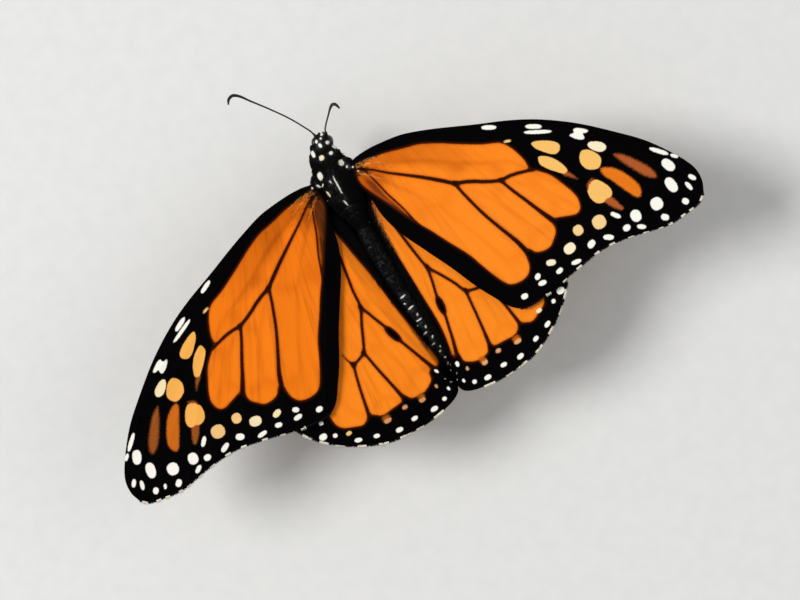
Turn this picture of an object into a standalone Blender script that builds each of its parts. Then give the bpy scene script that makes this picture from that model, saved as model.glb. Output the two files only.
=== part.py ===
"""Monarch butterfly, life size, wings spread flat, standing on its four walking legs.

Millimetres are used throughout in a frame at the wing roots: X to the butterfly's right, Y towards the
head, Z up, z = 0 at the level of the forewing roots. The last step moves the model onto the floor,
centres it over the origin and scales it to metres.
"""
import math

import bmesh
import bpy
from mathutils import Matrix, Vector

MM = 0.001

# --- stance -----------------------------------------------------------------------------------------
ROOT_HEIGHT = 13.0        # wing roots above the floor
WING_RISE = 0.13          # both wing pairs climb this much per mm outwards
WING_TRAIL = 0.09         # and this much per mm towards the tail
WING_DROOP = 0.0009       # and sag by this times the distance from the root squared
WING_THICK = 0.5          # stands in for a membrane with scales on both faces
PAIR_GAP = 0.85           # level of the hindwings below the forewings, centre to centre

# --- wing roots and the turn of each wing about its root (degrees, towards the head) -----------------
FORE_ROOT = (3.4, 0.0)
HIND_ROOT = (3.0, -5.0)
FORE_TURN = {"right": 0.0, "left": 2.8}
HIND_TURN = {"right": 0.0, "left": -4.1}
FORE_GRID = (30, 6)
HIND_GRID = (26, 7)

# Forewing outline from its root: costa to the apex, then inner margin and outer margin to the apex.
FORE_COSTA = [(-0.1, 1.1), (1.5, 1.9), (4.8, 1.7), (8.3, 1.0), (12.3, -0.6), (18.2, -3.5), (23.2, -5.7),
              (27.3, -8.0), (31.5, -11.1), (35.5, -14.8), (38.6, -18.0), (41.2, -21.7), (42.6, -24.5),
              (42.7, -26.6), (42.1, -28.2)]
FORE_TRAIL = [(-0.1, -1.4), (-0.2, -4.5), (0.2, -8.0), (1.3, -11.4), (3.4, -15.5), (5.5, -19.5),
              (7.4, -23.6), (9.0, -26.4), (10.1, -28.2), (11.3, -29.3), (12.8, -29.7), (15.4, -29.6),
              (18.0, -29.2), (20.6, -28.7), (23.2, -28.3), (25.6, -28.0), (28.0, -28.1), (31.0, -28.6),
              (33.8, -29.3), (36.2, -29.7), (38.6, -29.5), (40.7, -29.2), (42.1, -28.2)]
# Hindwing outline: costa round the apex to the outer margin, then the inner margin to the same corner.
HIND_COSTA = [(0.0, 0.3), (1.8, 0.5), (4.8, -0.4), (9.0, -2.6), (13.4, -5.6), (17.4, -9.4), (20.2, -13.6),
              (21.3, -17.4), (21.4, -20.2), (20.4, -22.9), (18.9, -25.1), (17.0, -26.9), (14.9, -28.6),
              (12.4, -30.0), (9.8, -31.0), (7.0, -31.3)]
HIND_TRAIL = [(0.0, -1.0), (-0.6, -3.0), (-0.8, -6.0), (-0.9, -9.0), (-1.0, -13.0), (-1.1, -17.0),
              (-1.2, -21.0), (-1.4, -25.0), (-1.6, -28.2), (-1.2, -30.0), (0.3, -31.0), (2.2, -31.4),
              (4.4, -31.5), (7.0, -31.3)]

# --- body: stations of (x, y, z, half width, half height) --------------------------------------------
THORAX = [(0.10, 4.60, -2.30, 0.0, 0.0), (0.10, 4.54, -2.30, 1.40, 1.15), (0.02, 4.22, -2.25, 1.88, 1.45),
          (-0.05, 3.70, -2.18, 2.15, 1.72), (-0.08, 3.00, -2.05, 2.42, 2.02), (-0.08, 2.10, -1.85, 2.72, 2.35),
          (-0.03, 1.00, -1.60, 2.86, 2.80), (0.02, 0.0, -1.42, 2.88, 3.10), (0.08, -1.20, -1.25, 2.88, 3.3),
          (0.06, -3.20, -1.15, 2.7, 3.2), (0.02, -5.20, -1.10, 2.1, 2.6), (0.0, -6.60, -1.05, 1.5, 1.9),
          (0.0, -7.20, -1.05, 1.0, 1.3), (0.0, -7.30, -1.05, 0.0, 0.0)]
ABDOMEN = [(0.0, -7.65, -1.10, 0.0, 0.0), (0.0, -7.75, -1.10, 0.9, 0.9), (0.0, -8.5, -1.15, 1.35, 1.4),
           (0.0, -10.0, -1.35, 1.62, 1.70), (0.0, -12.0, -1.72, 1.80, 1.85), (0.04, -14.0, -1.95, 1.90, 1.95),
           (0.07, -16.0, -2.08, 1.93, 2.00), (0.15, -18.0, -2.18, 1.92, 2.00), (0.32, -20.0, -2.28, 1.88, 1.95),
           (0.47, -22.0, -2.36, 1.80, 1.88), (0.60, -24.0, -2.45, 1.68, 1.75), (0.70, -26.0, -2.56, 1.52, 1.60),
           (0.77, -28.0, -2.72, 1.36, 1.42), (0.83, -30.0, -2.95, 1.18, 1.22), (0.90, -31.6, -3.20, 0.95, 0.96),
           (0.94, -32.5, -3.38, 0.62, 0.60), (0.96, -32.9, -3.46, 0.0, 0.0)]
HEAD_CENTRE = (0.40, 6.05, -2.52)
HEAD_TURN = -20.0         # degrees about Z: the head looks a little to its right
HEAD_RADII = (1.30, 1.12, 1.20)
CHEEK = 0.64              # the head is cut flat here to carry the eyes
EYE_RADII = (0.78, 0.88, 1.00)
EYE_CENTRE = (0.84, 0.04, 0.08)
EYE_CUT = 0.92

# --- thin parts: stations of (x, y, z, radius) --------------------------------------------------------
ANTENNA_LEFT = [(0.12, 7.40, -1.72, 0.25), (-0.25, 8.3, -1.55, 0.25), (-1.7, 11.1, -1.05, 0.25),
                (-3.4, 13.7, -0.45, 0.25), (-5.2, 16.1, 0.15, 0.26), (-6.1, 17.35, 0.5, 0.32),
                (-6.9, 17.95, 0.85, 0.38), (-7.6, 17.75, 1.15, 0.38), (-7.95, 17.15, 1.4, 0.30)]
ANTENNA_RIGHT = [(1.66, 7.02, -1.55, 0.25), (2.05, 7.12, -0.5, 0.25), (3.1, 7.25, 1.9, 0.25),
                 (4.3, 7.5, 4.7, 0.25), (5.5, 7.8, 7.3, 0.26), (6.35, 8.0, 9.1, 0.32),
                 (7.0, 8.0, 10.2, 0.38), (7.45, 7.7, 10.65, 0.38), (7.6, 7.1, 10.35, 0.30)]
PALP = [(0.38, 1.34, -0.60, 0.22), (0.40, 1.50, -0.40, 0.25), (0.41, 1.58, -0.16, 0.24),
        (0.41, 1.60, 0.06, 0.22)]
COIL_RADIUS = 0.62
COIL_TUBE = 0.25
COIL_CENTRE = (0.0, 1.27, -1.76)

# Leg stations for the right side, in mm above the floor. The foot lies flat on its sole.
FLOOR_FOOT = 0.24
LEG_FORE = [(1.2, 2.5, 8.15, 0.26), (1.38, 3.5, 7.6, 0.29), (1.38, 4.25, 7.05, 0.27),
            (1.28, 3.65, 6.6, 0.25), (1.2, 2.9, 6.5, 0.25)]
LEG_MID = [(1.6, -1.6, 8.0, 0.42), (3.9, -1.9, 8.5, 0.40), (6.2, -2.3, 8.1, 0.32), (7.3, -2.7, 5.0, 0.27),
           (8.3, -3.0, 1.5, 0.25), (8.8, -3.0, 0.5, 0.26), (9.4, -2.9, FLOOR_FOOT, 0.27),
           (12.4, -2.2, FLOOR_FOOT, 0.27), (13.0, -2.0, FLOOR_FOOT, 0.26)]
LEG_HIND = [(1.4, -5.7, 8.25, 0.42), (3.1, -8.3, 8.6, 0.40), (4.9, -11.3, 7.7, 0.32), (6.3, -14.0, 4.4, 0.27),
            (7.4, -16.4, 1.5, 0.25), (7.65, -16.9, 0.5, 0.26), (7.9, -17.5, FLOOR_FOOT, 0.27),
            (9.4, -21.6, FLOOR_FOOT, 0.27), (9.65, -22.3, FLOOR_FOOT, 0.26)]

COLOURS = {"wing": (0.85, 0.22, 0.02), "body": (0.010, 0.008, 0.008), "eye": (0.015, 0.010, 0.008),
           "limb": (0.012, 0.009, 0.008)}


def clear_scene():
    """Start from nothing."""
    for obj in list(bpy.data.objects):
        bpy.data.objects.remove(obj, do_unlink=True)


def material(name, colour, roughness):
    """One Principled material for one named object."""
    mat = bpy.data.materials.new(name)
    mat.use_nodes = True
    shader = mat.node_tree.nodes["Principled BSDF"]
    shader.inputs["Base Color"].default_value = (*colour, 1.0)
    shader.inputs["Roughness"].default_value = roughness
    return mat


def add_object(name, bm, colour, roughness=0.6):
    """Close a bmesh into a named object with its own material, normals outwards."""
    bmesh.ops.recalc_face_normals(bm, faces=bm.faces[:])
    if bm.calc_volume(signed=True) < 0:
        bmesh.ops.reverse_faces(bm, faces=bm.faces[:])
    mesh = bpy.data.meshes.new(name)
    bm.to_mesh(mesh)
    bm.free()
    obj = bpy.data.objects.new(name, mesh)
    bpy.context.scene.collection.objects.link(obj)
    mesh.materials.append(material(name + "_finish", colour, roughness))
    return obj


def spline(knots, t):
    """Point at 0..1 along a smooth curve through the knots, spaced by their distances."""
    pts = [Vector(k) for k in knots]
    gaps = [(b.xyz - a.xyz).length if len(a) > 2 else (b - a).length for a, b in zip(pts, pts[1:])]
    want = max(0.0, min(1.0, t)) * sum(gaps)
    i = 0
    while i < len(gaps) - 1 and want > gaps[i]:
        want -= gaps[i]
        i += 1
    u = want / gaps[i]
    a, b = pts[i], pts[i + 1]
    before = pts[i - 1] if i else a * 2 - b
    after = pts[i + 2] if i + 2 < len(pts) else b * 2 - a
    return 0.5 * (2 * a + (b - before) * u + (2 * before - 5 * a + 4 * b - after) * u * u
                  + (3 * a - before - 3 * b + after) * u ** 3)


def wing_level(x, y):
    """Height of the wing sheet over a point of the plan."""
    out = abs(x) - FORE_ROOT[0]
    return WING_RISE * out - WING_TRAIL * y - WING_DROOP * (out * out + y * y)


def wing(name, side, root, turn, costa, trail, grid, drop):
    """A thin blade between its leading and trailing curves, following the wing sheet."""
    bm = bmesh.new()
    bmesh.ops.create_grid(bm, x_segments=grid[0], y_segments=grid[1], size=0.5)
    spin = Matrix.Rotation(math.radians(turn), 2)
    for v in bm.verts:
        s, t = v.co.x + 0.5, v.co.y + 0.5
        p = spin @ spline(costa, s).lerp(spline(trail, s), t) + Vector(root)
        v.co = Vector((p.x, p.y, wing_level(p.x, p.y) + WING_THICK / 2 - drop))
    bmesh.ops.remove_doubles(bm, verts=bm.verts[:], dist=0.05)
    skin = bmesh.ops.extrude_face_region(bm, geom=bm.faces[:])
    under = [g for g in skin["geom"] if isinstance(g, bmesh.types.BMVert)]
    bmesh.ops.translate(bm, verts=under, vec=(0.0, 0.0, -WING_THICK))
    if side == "left":
        bmesh.ops.scale(bm, verts=bm.verts[:], vec=(-1.0, 1.0, 1.0))
    return add_object(name, bm, COLOURS["wing"], 0.55)


def loft(stations, sides, rings):
    """A closed round body through stations of (x, y, z, half width, half height or same)."""
    bm = bmesh.new()
    bmesh.ops.create_grid(bm, x_segments=rings, y_segments=sides, size=0.5)
    frames = []
    across = None
    for i in range(rings + 1):
        here = spline_station(stations, i / rings)
        ahead = spline_station(stations, min(1.0, (i + 0.5) / rings))
        behind = spline_station(stations, max(0.0, (i - 0.5) / rings))
        along = (ahead[0] - behind[0]).normalized()
        if across is None:
            across = along.cross(Vector((0.0, 0.0, 1.0)))
            if across.length < 0.2:
                across = Vector((1.0, 0.0, 0.0))
        across = (across - along * across.dot(along)).normalized()
        frames.append((here, along, across.copy()))
    for v in bm.verts:
        ring = round((v.co.x + 0.5) * rings)
        angle = (v.co.y + 0.5) * 2.0 * math.pi
        (centre, wide, tall), along, side = frames[ring]
        up = side.cross(along)
        v.co = centre + side * (wide * math.cos(angle)) + up * (tall * math.sin(angle))
    bmesh.ops.remove_doubles(bm, verts=bm.verts[:], dist=0.02)
    return bm


def spline_station(stations, t):
    """Centre and half sizes at 0..1 along the stations."""
    centres = [Vector(s[:3]) for s in stations]
    p = spline(centres, t)
    gaps = [(b - a).length for a, b in zip(centres, centres[1:])]
    want = t * sum(gaps)
    i = 0
    while i < len(gaps) - 1 and want > gaps[i]:
        want -= gaps[i]
        i += 1
    u = min(1.0, want / gaps[i])
    wide = stations[i][3] * (1 - u) + stations[i + 1][3] * u
    tall = stations[i][-1] * (1 - u) + stations[i + 1][-1] * u
    return p, wide, tall


def rounded_ends(stations, reach=0.18):
    """Add a half-round cap before the first and after the last station of a thin part."""
    first, second = Vector(stations[0][:3]), Vector(stations[1][:3])
    last, before = Vector(stations[-1][:3]), Vector(stations[-2][:3])
    start = first + (first - second).normalized() * reach
    end = last + (last - before).normalized() * reach
    return [(*start, 0.0)] + list(stations) + [(*end, 0.0)]


def limb(name, stations, sides, rings, colour, mirror=False, floor=None):
    """A thin tube along its stations, its sole cut flat where it meets the floor."""
    bm = loft(rounded_ends(stations), sides, rings)
    if floor is not None:
        cut = bmesh.ops.bisect_plane(bm, geom=bm.verts[:] + bm.edges[:] + bm.faces[:], dist=0.0001,
                                     plane_co=(0.0, 0.0, floor), plane_no=(0.0, 0.0, -1.0),
                                     clear_outer=True)
        rim = [g for g in cut["geom_cut"] if isinstance(g, bmesh.types.BMEdge)]
        bmesh.ops.edgeloop_fill(bm, edges=rim)
    if mirror:
        bmesh.ops.scale(bm, verts=bm.verts[:], vec=(-1.0, 1.0, 1.0))
    return add_object(name, bm, colour, 0.5)


def head_pieces():
    """Head with flat cheeks, a domed eye on each, two palps and the coiled tongue."""
    pose = Matrix.Translation(HEAD_CENTRE) @ Matrix.Rotation(math.radians(HEAD_TURN), 4, "Z")
    bm = bmesh.new()
    bmesh.ops.create_uvsphere(bm, u_segments=20, v_segments=12, radius=1.0)
    bmesh.ops.scale(bm, verts=bm.verts[:], vec=HEAD_RADII)
    for way in (1.0, -1.0):
        cut = bmesh.ops.bisect_plane(bm, geom=bm.verts[:] + bm.edges[:] + bm.faces[:], dist=0.0001,
                                     plane_co=(way * CHEEK, 0.0, 0.0), plane_no=(way, 0.0, 0.0),
                                     clear_outer=True)
        bmesh.ops.edgeloop_fill(bm, edges=[g for g in cut["geom_cut"] if isinstance(g, bmesh.types.BMEdge)])
    bmesh.ops.transform(bm, matrix=pose, verts=bm.verts[:])
    add_object("head", bm, COLOURS["body"], 0.7)
    for side, way in (("right", 1.0), ("left", -1.0)):
        bm = bmesh.new()
        bmesh.ops.create_uvsphere(bm, u_segments=18, v_segments=12, radius=1.0)
        bmesh.ops.scale(bm, verts=bm.verts[:], vec=EYE_RADII)
        place = Vector((way * EYE_CENTRE[0], EYE_CENTRE[1], EYE_CENTRE[2]))
        bmesh.ops.translate(bm, verts=bm.verts[:], vec=place)
        cut = bmesh.ops.bisect_plane(bm, geom=bm.verts[:] + bm.edges[:] + bm.faces[:], dist=0.0001,
                                     plane_co=(way * EYE_CUT, 0.0, 0.0), plane_no=(-way, 0.0, 0.0),
                                     clear_outer=True)
        bmesh.ops.edgeloop_fill(bm, edges=[g for g in cut["geom_cut"] if isinstance(g, bmesh.types.BMEdge)])
        bmesh.ops.transform(bm, matrix=pose, verts=bm.verts[:])
        add_object("eye_" + side, bm, COLOURS["eye"], 0.25)
        bm = loft(rounded_ends(PALP, 0.15), 8, 7)
        if way < 0:
            bmesh.ops.scale(bm, verts=bm.verts[:], vec=(-1.0, 1.0, 1.0))
        bmesh.ops.transform(bm, matrix=pose, verts=bm.verts[:])
        add_object("palp_" + side, bm, COLOURS["limb"], 0.7)
    turns = 22
    path = []
    for i in range(turns + 1):
        angle = math.radians(20.0 + 300.0 * i / turns)
        path.append((COIL_CENTRE[0], COIL_CENTRE[1] + COIL_RADIUS * math.cos(angle),
                     COIL_CENTRE[2] - COIL_RADIUS * math.sin(angle), COIL_TUBE))
    bm = loft(rounded_ends(path, 0.1), 8, 22)
    bmesh.ops.transform(bm, matrix=pose, verts=bm.verts[:])
    add_object("proboscis", bm, COLOURS["limb"], 0.5)


def build():
    """Make every node in the wing-root frame."""
    for side in ("right", "left"):
        wing("forewing_" + side, side, FORE_ROOT, FORE_TURN[side], FORE_COSTA, FORE_TRAIL, FORE_GRID, 0.0)
        wing("hindwing_" + side, side, HIND_ROOT, HIND_TURN[side], HIND_COSTA, HIND_TRAIL, HIND_GRID, PAIR_GAP)
    add_object("thorax", loft(THORAX, 18, 16), COLOURS["body"], 0.8)
    add_object("abdomen", loft(ABDOMEN, 14, 22), COLOURS["body"], 0.8)
    head_pieces()
    limb("antenna_left", ANTENNA_LEFT, 8, 22, COLOURS["limb"])
    limb("antenna_right", ANTENNA_RIGHT, 8, 22, COLOURS["limb"])
    lift = Matrix.Translation((0.0, 0.0, -ROOT_HEIGHT))
    for name, stations, floor in (("leg_fore_", LEG_FORE, None), ("leg_mid_", LEG_MID, 0.0),
                                  ("leg_hind_", LEG_HIND, 0.0)):
        for side in ("right", "left"):
            leg = limb(name + side, stations, 8, 20, COLOURS["limb"], side == "left", floor)
            leg.data.transform(lift)


def settle():
    """Put the soles on the floor, centre the extents over the origin and turn millimetres into metres."""
    low, high = Vector((1e9, 1e9, 1e9)), Vector((-1e9, -1e9, -1e9))
    for obj in bpy.data.objects:
        for v in obj.data.vertices:
            low = Vector(map(min, low, v.co))
            high = Vector(map(max, high, v.co))
    move = Matrix.Translation((-(low.x + high.x) / 2, -(low.y + high.y) / 2, -low.z))
    for obj in bpy.data.objects:
        obj.data.transform(Matrix.Scale(MM, 4) @ move)


clear_scene()
build()
settle()
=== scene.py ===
"""Monarch butterfly at life size: scaled wings, furred body, domed eyes, feelers and legs.

Lengths are millimetres in a frame at the wing roots (X to the butterfly's right, Y towards the head,
Z up, z = 0 at the forewing roots) until a piece is finished. Datum then puts it in the model's own frame
in metres.
"""
import logging
import math
from dataclasses import dataclass
from enum import Enum
from typing import Any, Callable, Sequence

import bmesh
import bpy
import numpy as np
from mathutils import Matrix, Vector


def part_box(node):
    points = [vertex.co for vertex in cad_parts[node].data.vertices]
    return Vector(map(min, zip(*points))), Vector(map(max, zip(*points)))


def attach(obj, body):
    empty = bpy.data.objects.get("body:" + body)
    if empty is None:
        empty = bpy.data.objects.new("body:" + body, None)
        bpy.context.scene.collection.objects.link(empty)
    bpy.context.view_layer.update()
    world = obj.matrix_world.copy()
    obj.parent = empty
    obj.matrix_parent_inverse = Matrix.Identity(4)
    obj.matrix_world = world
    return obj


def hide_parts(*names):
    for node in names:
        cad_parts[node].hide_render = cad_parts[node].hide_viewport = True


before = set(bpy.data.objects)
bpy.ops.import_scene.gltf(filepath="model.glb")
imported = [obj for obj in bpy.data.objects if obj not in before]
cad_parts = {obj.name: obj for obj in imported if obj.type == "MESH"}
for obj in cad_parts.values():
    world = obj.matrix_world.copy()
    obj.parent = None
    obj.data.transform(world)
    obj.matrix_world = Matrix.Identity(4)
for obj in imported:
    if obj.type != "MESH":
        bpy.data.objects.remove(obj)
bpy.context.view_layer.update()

LOG = logging.getLogger("monarch")
MM = 0.001
# Height of the forewing roots over the ground, and from them forwards to the front of the thorax, mm.
STANCE = 13.0
THORAX_FRONT = 4.60
Knots = Sequence[tuple[float, ...]]


class Side(Enum):
    """The butterfly's own right and left."""

    RIGHT = "right"
    LEFT = "left"

    @property
    def way(self) -> float:
        """+1 on the right, -1 on the left."""
        return 1.0 if self is Side.RIGHT else -1.0


class Face(Enum):
    """The two faces of a wing."""

    UPPER = "upper"
    UNDER = "under"


class Tone(Enum):
    """Colour of one marking, as its place on the pale-to-dark ramp."""

    WHITE = 0.0
    CREAM = 0.12
    PEACH = 0.25
    APRICOT = 0.38
    TAN = 0.5
    ORANGE = 0.62
    RUST = 0.75
    BROWN = 0.87


# --- numbers and curves --------------------------------------------------------------------------------


def columns(*values: np.ndarray | float) -> np.ndarray:
    """Set arrays and single numbers side by side, as the columns of one table."""
    return np.stack(np.broadcast_arrays(*values), axis=1)


def unit(rows: np.ndarray) -> np.ndarray:
    """Rows scaled to length one."""
    return rows / np.maximum(np.linalg.norm(rows, axis=1), 1e-9)[:, None]


def linear(code: str) -> tuple[float, float, float, float]:
    """Turn an sRGB hex colour into linear values.

    Args:
        code: six hex digits, such as "f98a2a".

    Returns:
        Linear red, green and blue with an alpha of one.
    """
    parts = [int(code[i:i + 2], 16) / 255 for i in (0, 2, 4)]
    rgb = [p / 12.92 if p <= 0.04045 else ((p + 0.055) / 1.055) ** 2.4 for p in parts]
    return (rgb[0], rgb[1], rgb[2], 1.0)


def curve(knots: Knots, t: np.ndarray) -> np.ndarray:
    """Points along a smooth curve through the knots.

    Args:
        knots: points of two or more numbers each.
        t: positions from 0 to 1, spaced by the distances between the knots.

    Returns:
        One row for each value of t.
    """
    k = np.array(knots, float)
    place = k[:, :3] if k.shape[1] > 2 else k
    gaps = np.linalg.norm(np.diff(place, axis=0), axis=1)
    ends = np.concatenate([[0.0], np.cumsum(gaps)])
    want = np.clip(t, 0.0, 1.0) * ends[-1]
    i = np.clip(np.searchsorted(ends, want, side="right") - 1, 0, len(gaps) - 1)
    u = ((want - ends[i]) / gaps[i])[:, None]
    grown = np.vstack([2 * k[0] - k[1], k, 2 * k[-1] - k[-2]])
    before, a, b, after = grown[i], grown[i + 1], grown[i + 2], grown[i + 3]
    return 0.5 * (2 * a + (b - before) * u + (2 * before - 5 * a + 4 * b - after) * u ** 2
                  + (3 * a - before - 3 * b + after) * u ** 3)


def ring(knots: Knots, count: int) -> np.ndarray:
    """A smooth closed outline through the knots, as count points."""
    k = list(knots)
    turned = [k[-2], k[-1]] + k + [k[0], k[1]]
    pts = np.array(turned, float)
    gaps = np.linalg.norm(np.diff(pts, axis=0), axis=1)
    total = gaps.sum()
    start, stop = gaps[:2].sum() / total, gaps[:-1].sum() / total
    return curve(turned, np.linspace(start, stop, count, endpoint=False))


def to_line(points: np.ndarray, line: np.ndarray, half: np.ndarray) -> np.ndarray:
    """Distance from points to a stroke of varying width, negative inside it.

    Args:
        points: N rows of (u, v).
        line: the stroke's middle as rows of (u, v).
        half: half width of the stroke at each of those rows.

    Returns:
        One distance for each point.
    """
    best = np.full(len(points), 1e9)
    for a, b, ha, hb in zip(line[:-1], line[1:], half[:-1], half[1:]):
        step = b - a
        t = np.clip(((points - a) @ step) / max(step @ step, 1e-12), 0.0, 1.0)
        gap = np.hypot(points[:, 0] - a[0] - t * step[0], points[:, 1] - a[1] - t * step[1])
        best = np.minimum(best, gap - (ha + (hb - ha) * t))
    return best


def to_outline(points: np.ndarray, outline: np.ndarray) -> np.ndarray:
    """Distance from points to a closed outline, positive inside it."""
    closed = np.vstack([outline, outline[:1]])
    gap = to_line(points, closed, np.zeros(len(closed)))
    inside = np.zeros(len(points), bool)
    for a, b in zip(closed[:-1], closed[1:]):
        if a[1] == b[1]:
            continue
        spans = (a[1] > points[:, 1]) != (b[1] > points[:, 1])
        inside ^= spans & (points[:, 0] < a[0] + (b[0] - a[0]) * (points[:, 1] - a[1]) / (b[1] - a[1]))
    return np.where(inside, gap, -gap)


def soft_min(a: np.ndarray, b: np.ndarray, round_by: float) -> np.ndarray:
    """The lesser of two fields, with the corner between them rounded by so many mm."""
    h = np.clip(0.5 + 0.5 * (b - a) / round_by, 0.0, 1.0)
    return b + (a - b) * h - round_by * h * (1.0 - h)


def soft_step(low: float, high: float, value: np.ndarray) -> np.ndarray:
    """0 below low, 1 above high and a smooth rise between."""
    t = np.clip((value - low) / (high - low), 0.0, 1.0)
    return t * t * (3.0 - 2.0 * t)


def bell(value: np.ndarray, middle: float, width: float) -> np.ndarray:
    """1 at the middle, falling off to both sides over about the width."""
    return np.exp(-((value - middle) / width) ** 2)


# --- meshes --------------------------------------------------------------------------------------------


@dataclass(frozen=True)
class Datum:
    """Where the wing-root frame lies in the model's frame."""

    origin: tuple[float, float, float]

    @classmethod
    def from_frame(cls) -> "Datum":
        """Find the wing roots from the hind feet, the front of the thorax and the stance's height."""
        left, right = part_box("leg_hind_left")[0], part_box("leg_hind_right")[1]
        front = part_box("thorax")[1]
        return cls(((left.x + right.x) / 2, front.y - THORAX_FRONT * MM, STANCE * MM))

    def matrix(self) -> Matrix:
        """Millimetres at the wing roots to metres in the model's frame."""
        return Matrix.Translation(self.origin) @ Matrix.Scale(MM, 4)


def read_rows(items: Any, name: str = "vector") -> np.ndarray:
    """Three numbers of every item, as rows."""
    out = np.empty(len(items) * 3, np.float32)
    items.foreach_get(name, out)
    return out.reshape(-1, 3)


def read_counts(items: Any, name: str) -> np.ndarray:
    """One whole number of every item."""
    out = np.empty(len(items), np.int32)
    items.foreach_get(name, out)
    return out


def read_points(mesh: bpy.types.Mesh) -> np.ndarray:
    """The mesh's vertices as rows."""
    return read_rows(mesh.vertices, "co").astype(float)


def write_points(mesh: bpy.types.Mesh, points: np.ndarray) -> None:
    """Move the mesh's vertices to these rows."""
    mesh.vertices.foreach_set("co", points.astype(np.float32).ravel())
    mesh.update()


def paint(mesh: bpy.types.Mesh, name: str, values: np.ndarray) -> None:
    """Store three numbers for each vertex under a name that materials read."""
    layer = mesh.attributes.new(name, "FLOAT_VECTOR", "POINT")
    layer.data.foreach_set("vector", values.astype(np.float32).ravel())


def read_corners(mesh: bpy.types.Mesh) -> np.ndarray:
    """The vertex at each corner of each face."""
    return read_counts(mesh.loops, "vertex_index")


def map_corners(mesh: bpy.types.Mesh, uv: np.ndarray) -> None:
    """Give the mesh the UV map that its colours are baked on, from one place for each corner."""
    mesh.uv_layers.new(name="OFBake").uv.foreach_set("vector", uv.astype(np.float32).ravel())


def mesh_of(name: str, bm: bmesh.types.BMesh) -> bpy.types.Mesh:
    """Turn a bmesh into a smooth-shaded mesh and free it."""
    mesh = bpy.data.meshes.new(name)
    bm.to_mesh(mesh)
    bm.free()
    mesh.shade_smooth()
    return mesh


def settle(name: str, mesh: bpy.types.Mesh, datum: Datum, finishes: Sequence[bpy.types.Material],
           stands_for: Sequence[str] = ()) -> None:
    """Put a finished piece in the model, riding on the body.

    Args:
        name: the piece's name.
        mesh: its mesh, in mm at the wing roots.
        datum: where the wing roots are.
        finishes: its materials, in slot order.
        stands_for: CAD nodes that it is shown instead of.
    """
    mesh.transform(datum.matrix())
    for finish in finishes:
        mesh.materials.append(finish)
    obj = bpy.data.objects.new(name, mesh)
    bpy.context.scene.collection.objects.link(obj)
    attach(obj, "root")
    if stands_for:
        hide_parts(*stands_for)
    LOG.info("%s: %d faces", name, len(mesh.polygons))


def tube(stations: Knots, sides: int, rings: int,
         shape: Callable[[np.ndarray, np.ndarray], np.ndarray] | None = None) -> bpy.types.Mesh:
    """A closed round form through stations of (x, y, z, half width, half height or the same).

    Args:
        stations: the form's middle and half sizes, closed to a point at both ends.
        sides: faces round it.
        rings: faces along it.
        shape: swelling of the surface for each (position 0..1, angle), as a factor.

    Returns:
        A mesh with attribute "place" of (position along, angle share, 0).
    """
    bm = bmesh.new()
    bmesh.ops.create_grid(bm, x_segments=rings, y_segments=sides, size=0.5)
    grid = np.array([v.co[:2] for v in bm.verts]) + 0.5
    t, turn = grid[:, 0], grid[:, 1] * 2 * math.pi
    steps = np.linspace(0.0, 1.0, rings + 1)
    rows = [s if len(s) == 5 else (*s, s[3]) for s in stations]
    mid = curve(rows, steps)
    along = np.gradient(mid[:, :3], axis=0)
    along /= np.linalg.norm(along, axis=1)[:, None]
    side = np.cross(along[0], (0.0, 0.0, 1.0))
    if np.linalg.norm(side) < 0.2:
        side = np.array((1.0, 0.0, 0.0))
    sides_at = []
    for direction in along:
        side = side - direction * (side @ direction)
        side = side / np.linalg.norm(side)
        sides_at.append(side)
    across = np.array(sides_at)
    up = np.cross(across, along)
    i = np.rint(t * rings).astype(int)
    size = np.maximum(mid[:, 3:5], 0.0)
    size[0] = size[-1] = 0.0
    swell = np.ones(len(t)) if shape is None else shape(t, turn)
    pts = (mid[i, :3] + across[i] * (size[i, 0] * np.cos(turn) * swell)[:, None]
           + up[i] * (size[i, 1] * np.sin(turn) * swell)[:, None])
    place = bm.verts.layers.float_vector.new("place")
    for v, p, g in zip(bm.verts, pts, grid):
        v.co = p
        v[place] = (g[0], g[1], 0.0)
    seam = [v for v in bm.verts if v[place][1] < 1e-6 or v[place][1] > 1 - 1e-6
            or v[place][0] < 1e-6 or v[place][0] > 1 - 1e-6]
    bmesh.ops.remove_doubles(bm, verts=seam, dist=1e-4)
    bmesh.ops.recalc_face_normals(bm, faces=bm.faces[:])
    if bm.calc_volume(signed=True) < 0:
        bmesh.ops.reverse_faces(bm, faces=bm.faces[:])
    return mesh_of("tube", bm)


def capped(stations: Knots) -> list[tuple[float, ...]]:
    """Close a thin form with a half-round end before its first and after its last station."""
    rows = [tuple(s) for s in stations]
    ends = []
    for tip, inner in ((rows[0], rows[1]), (rows[-1], rows[-2])):
        out = Vector(tip[:3]) - Vector(inner[:3])
        out.normalize()
        wide = tip[3]
        near = Vector(tip[:3]) + out * wide * 0.7
        far = Vector(tip[:3]) + out * wide
        ends.append(((*near, wide * 0.7), (*far, 0.0)))
    return [ends[0][1], ends[0][0], *rows, ends[1][0], ends[1][1]]


def merge(meshes: Sequence[bpy.types.Mesh]) -> bpy.types.Mesh:
    """Join meshes into one and remove the originals."""
    bm = bmesh.new()
    for mesh in meshes:
        bm.from_mesh(mesh)
        bpy.data.meshes.remove(mesh)
    return mesh_of("merged", bm)


# --- coat ----------------------------------------------------------------------------------------------


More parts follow.
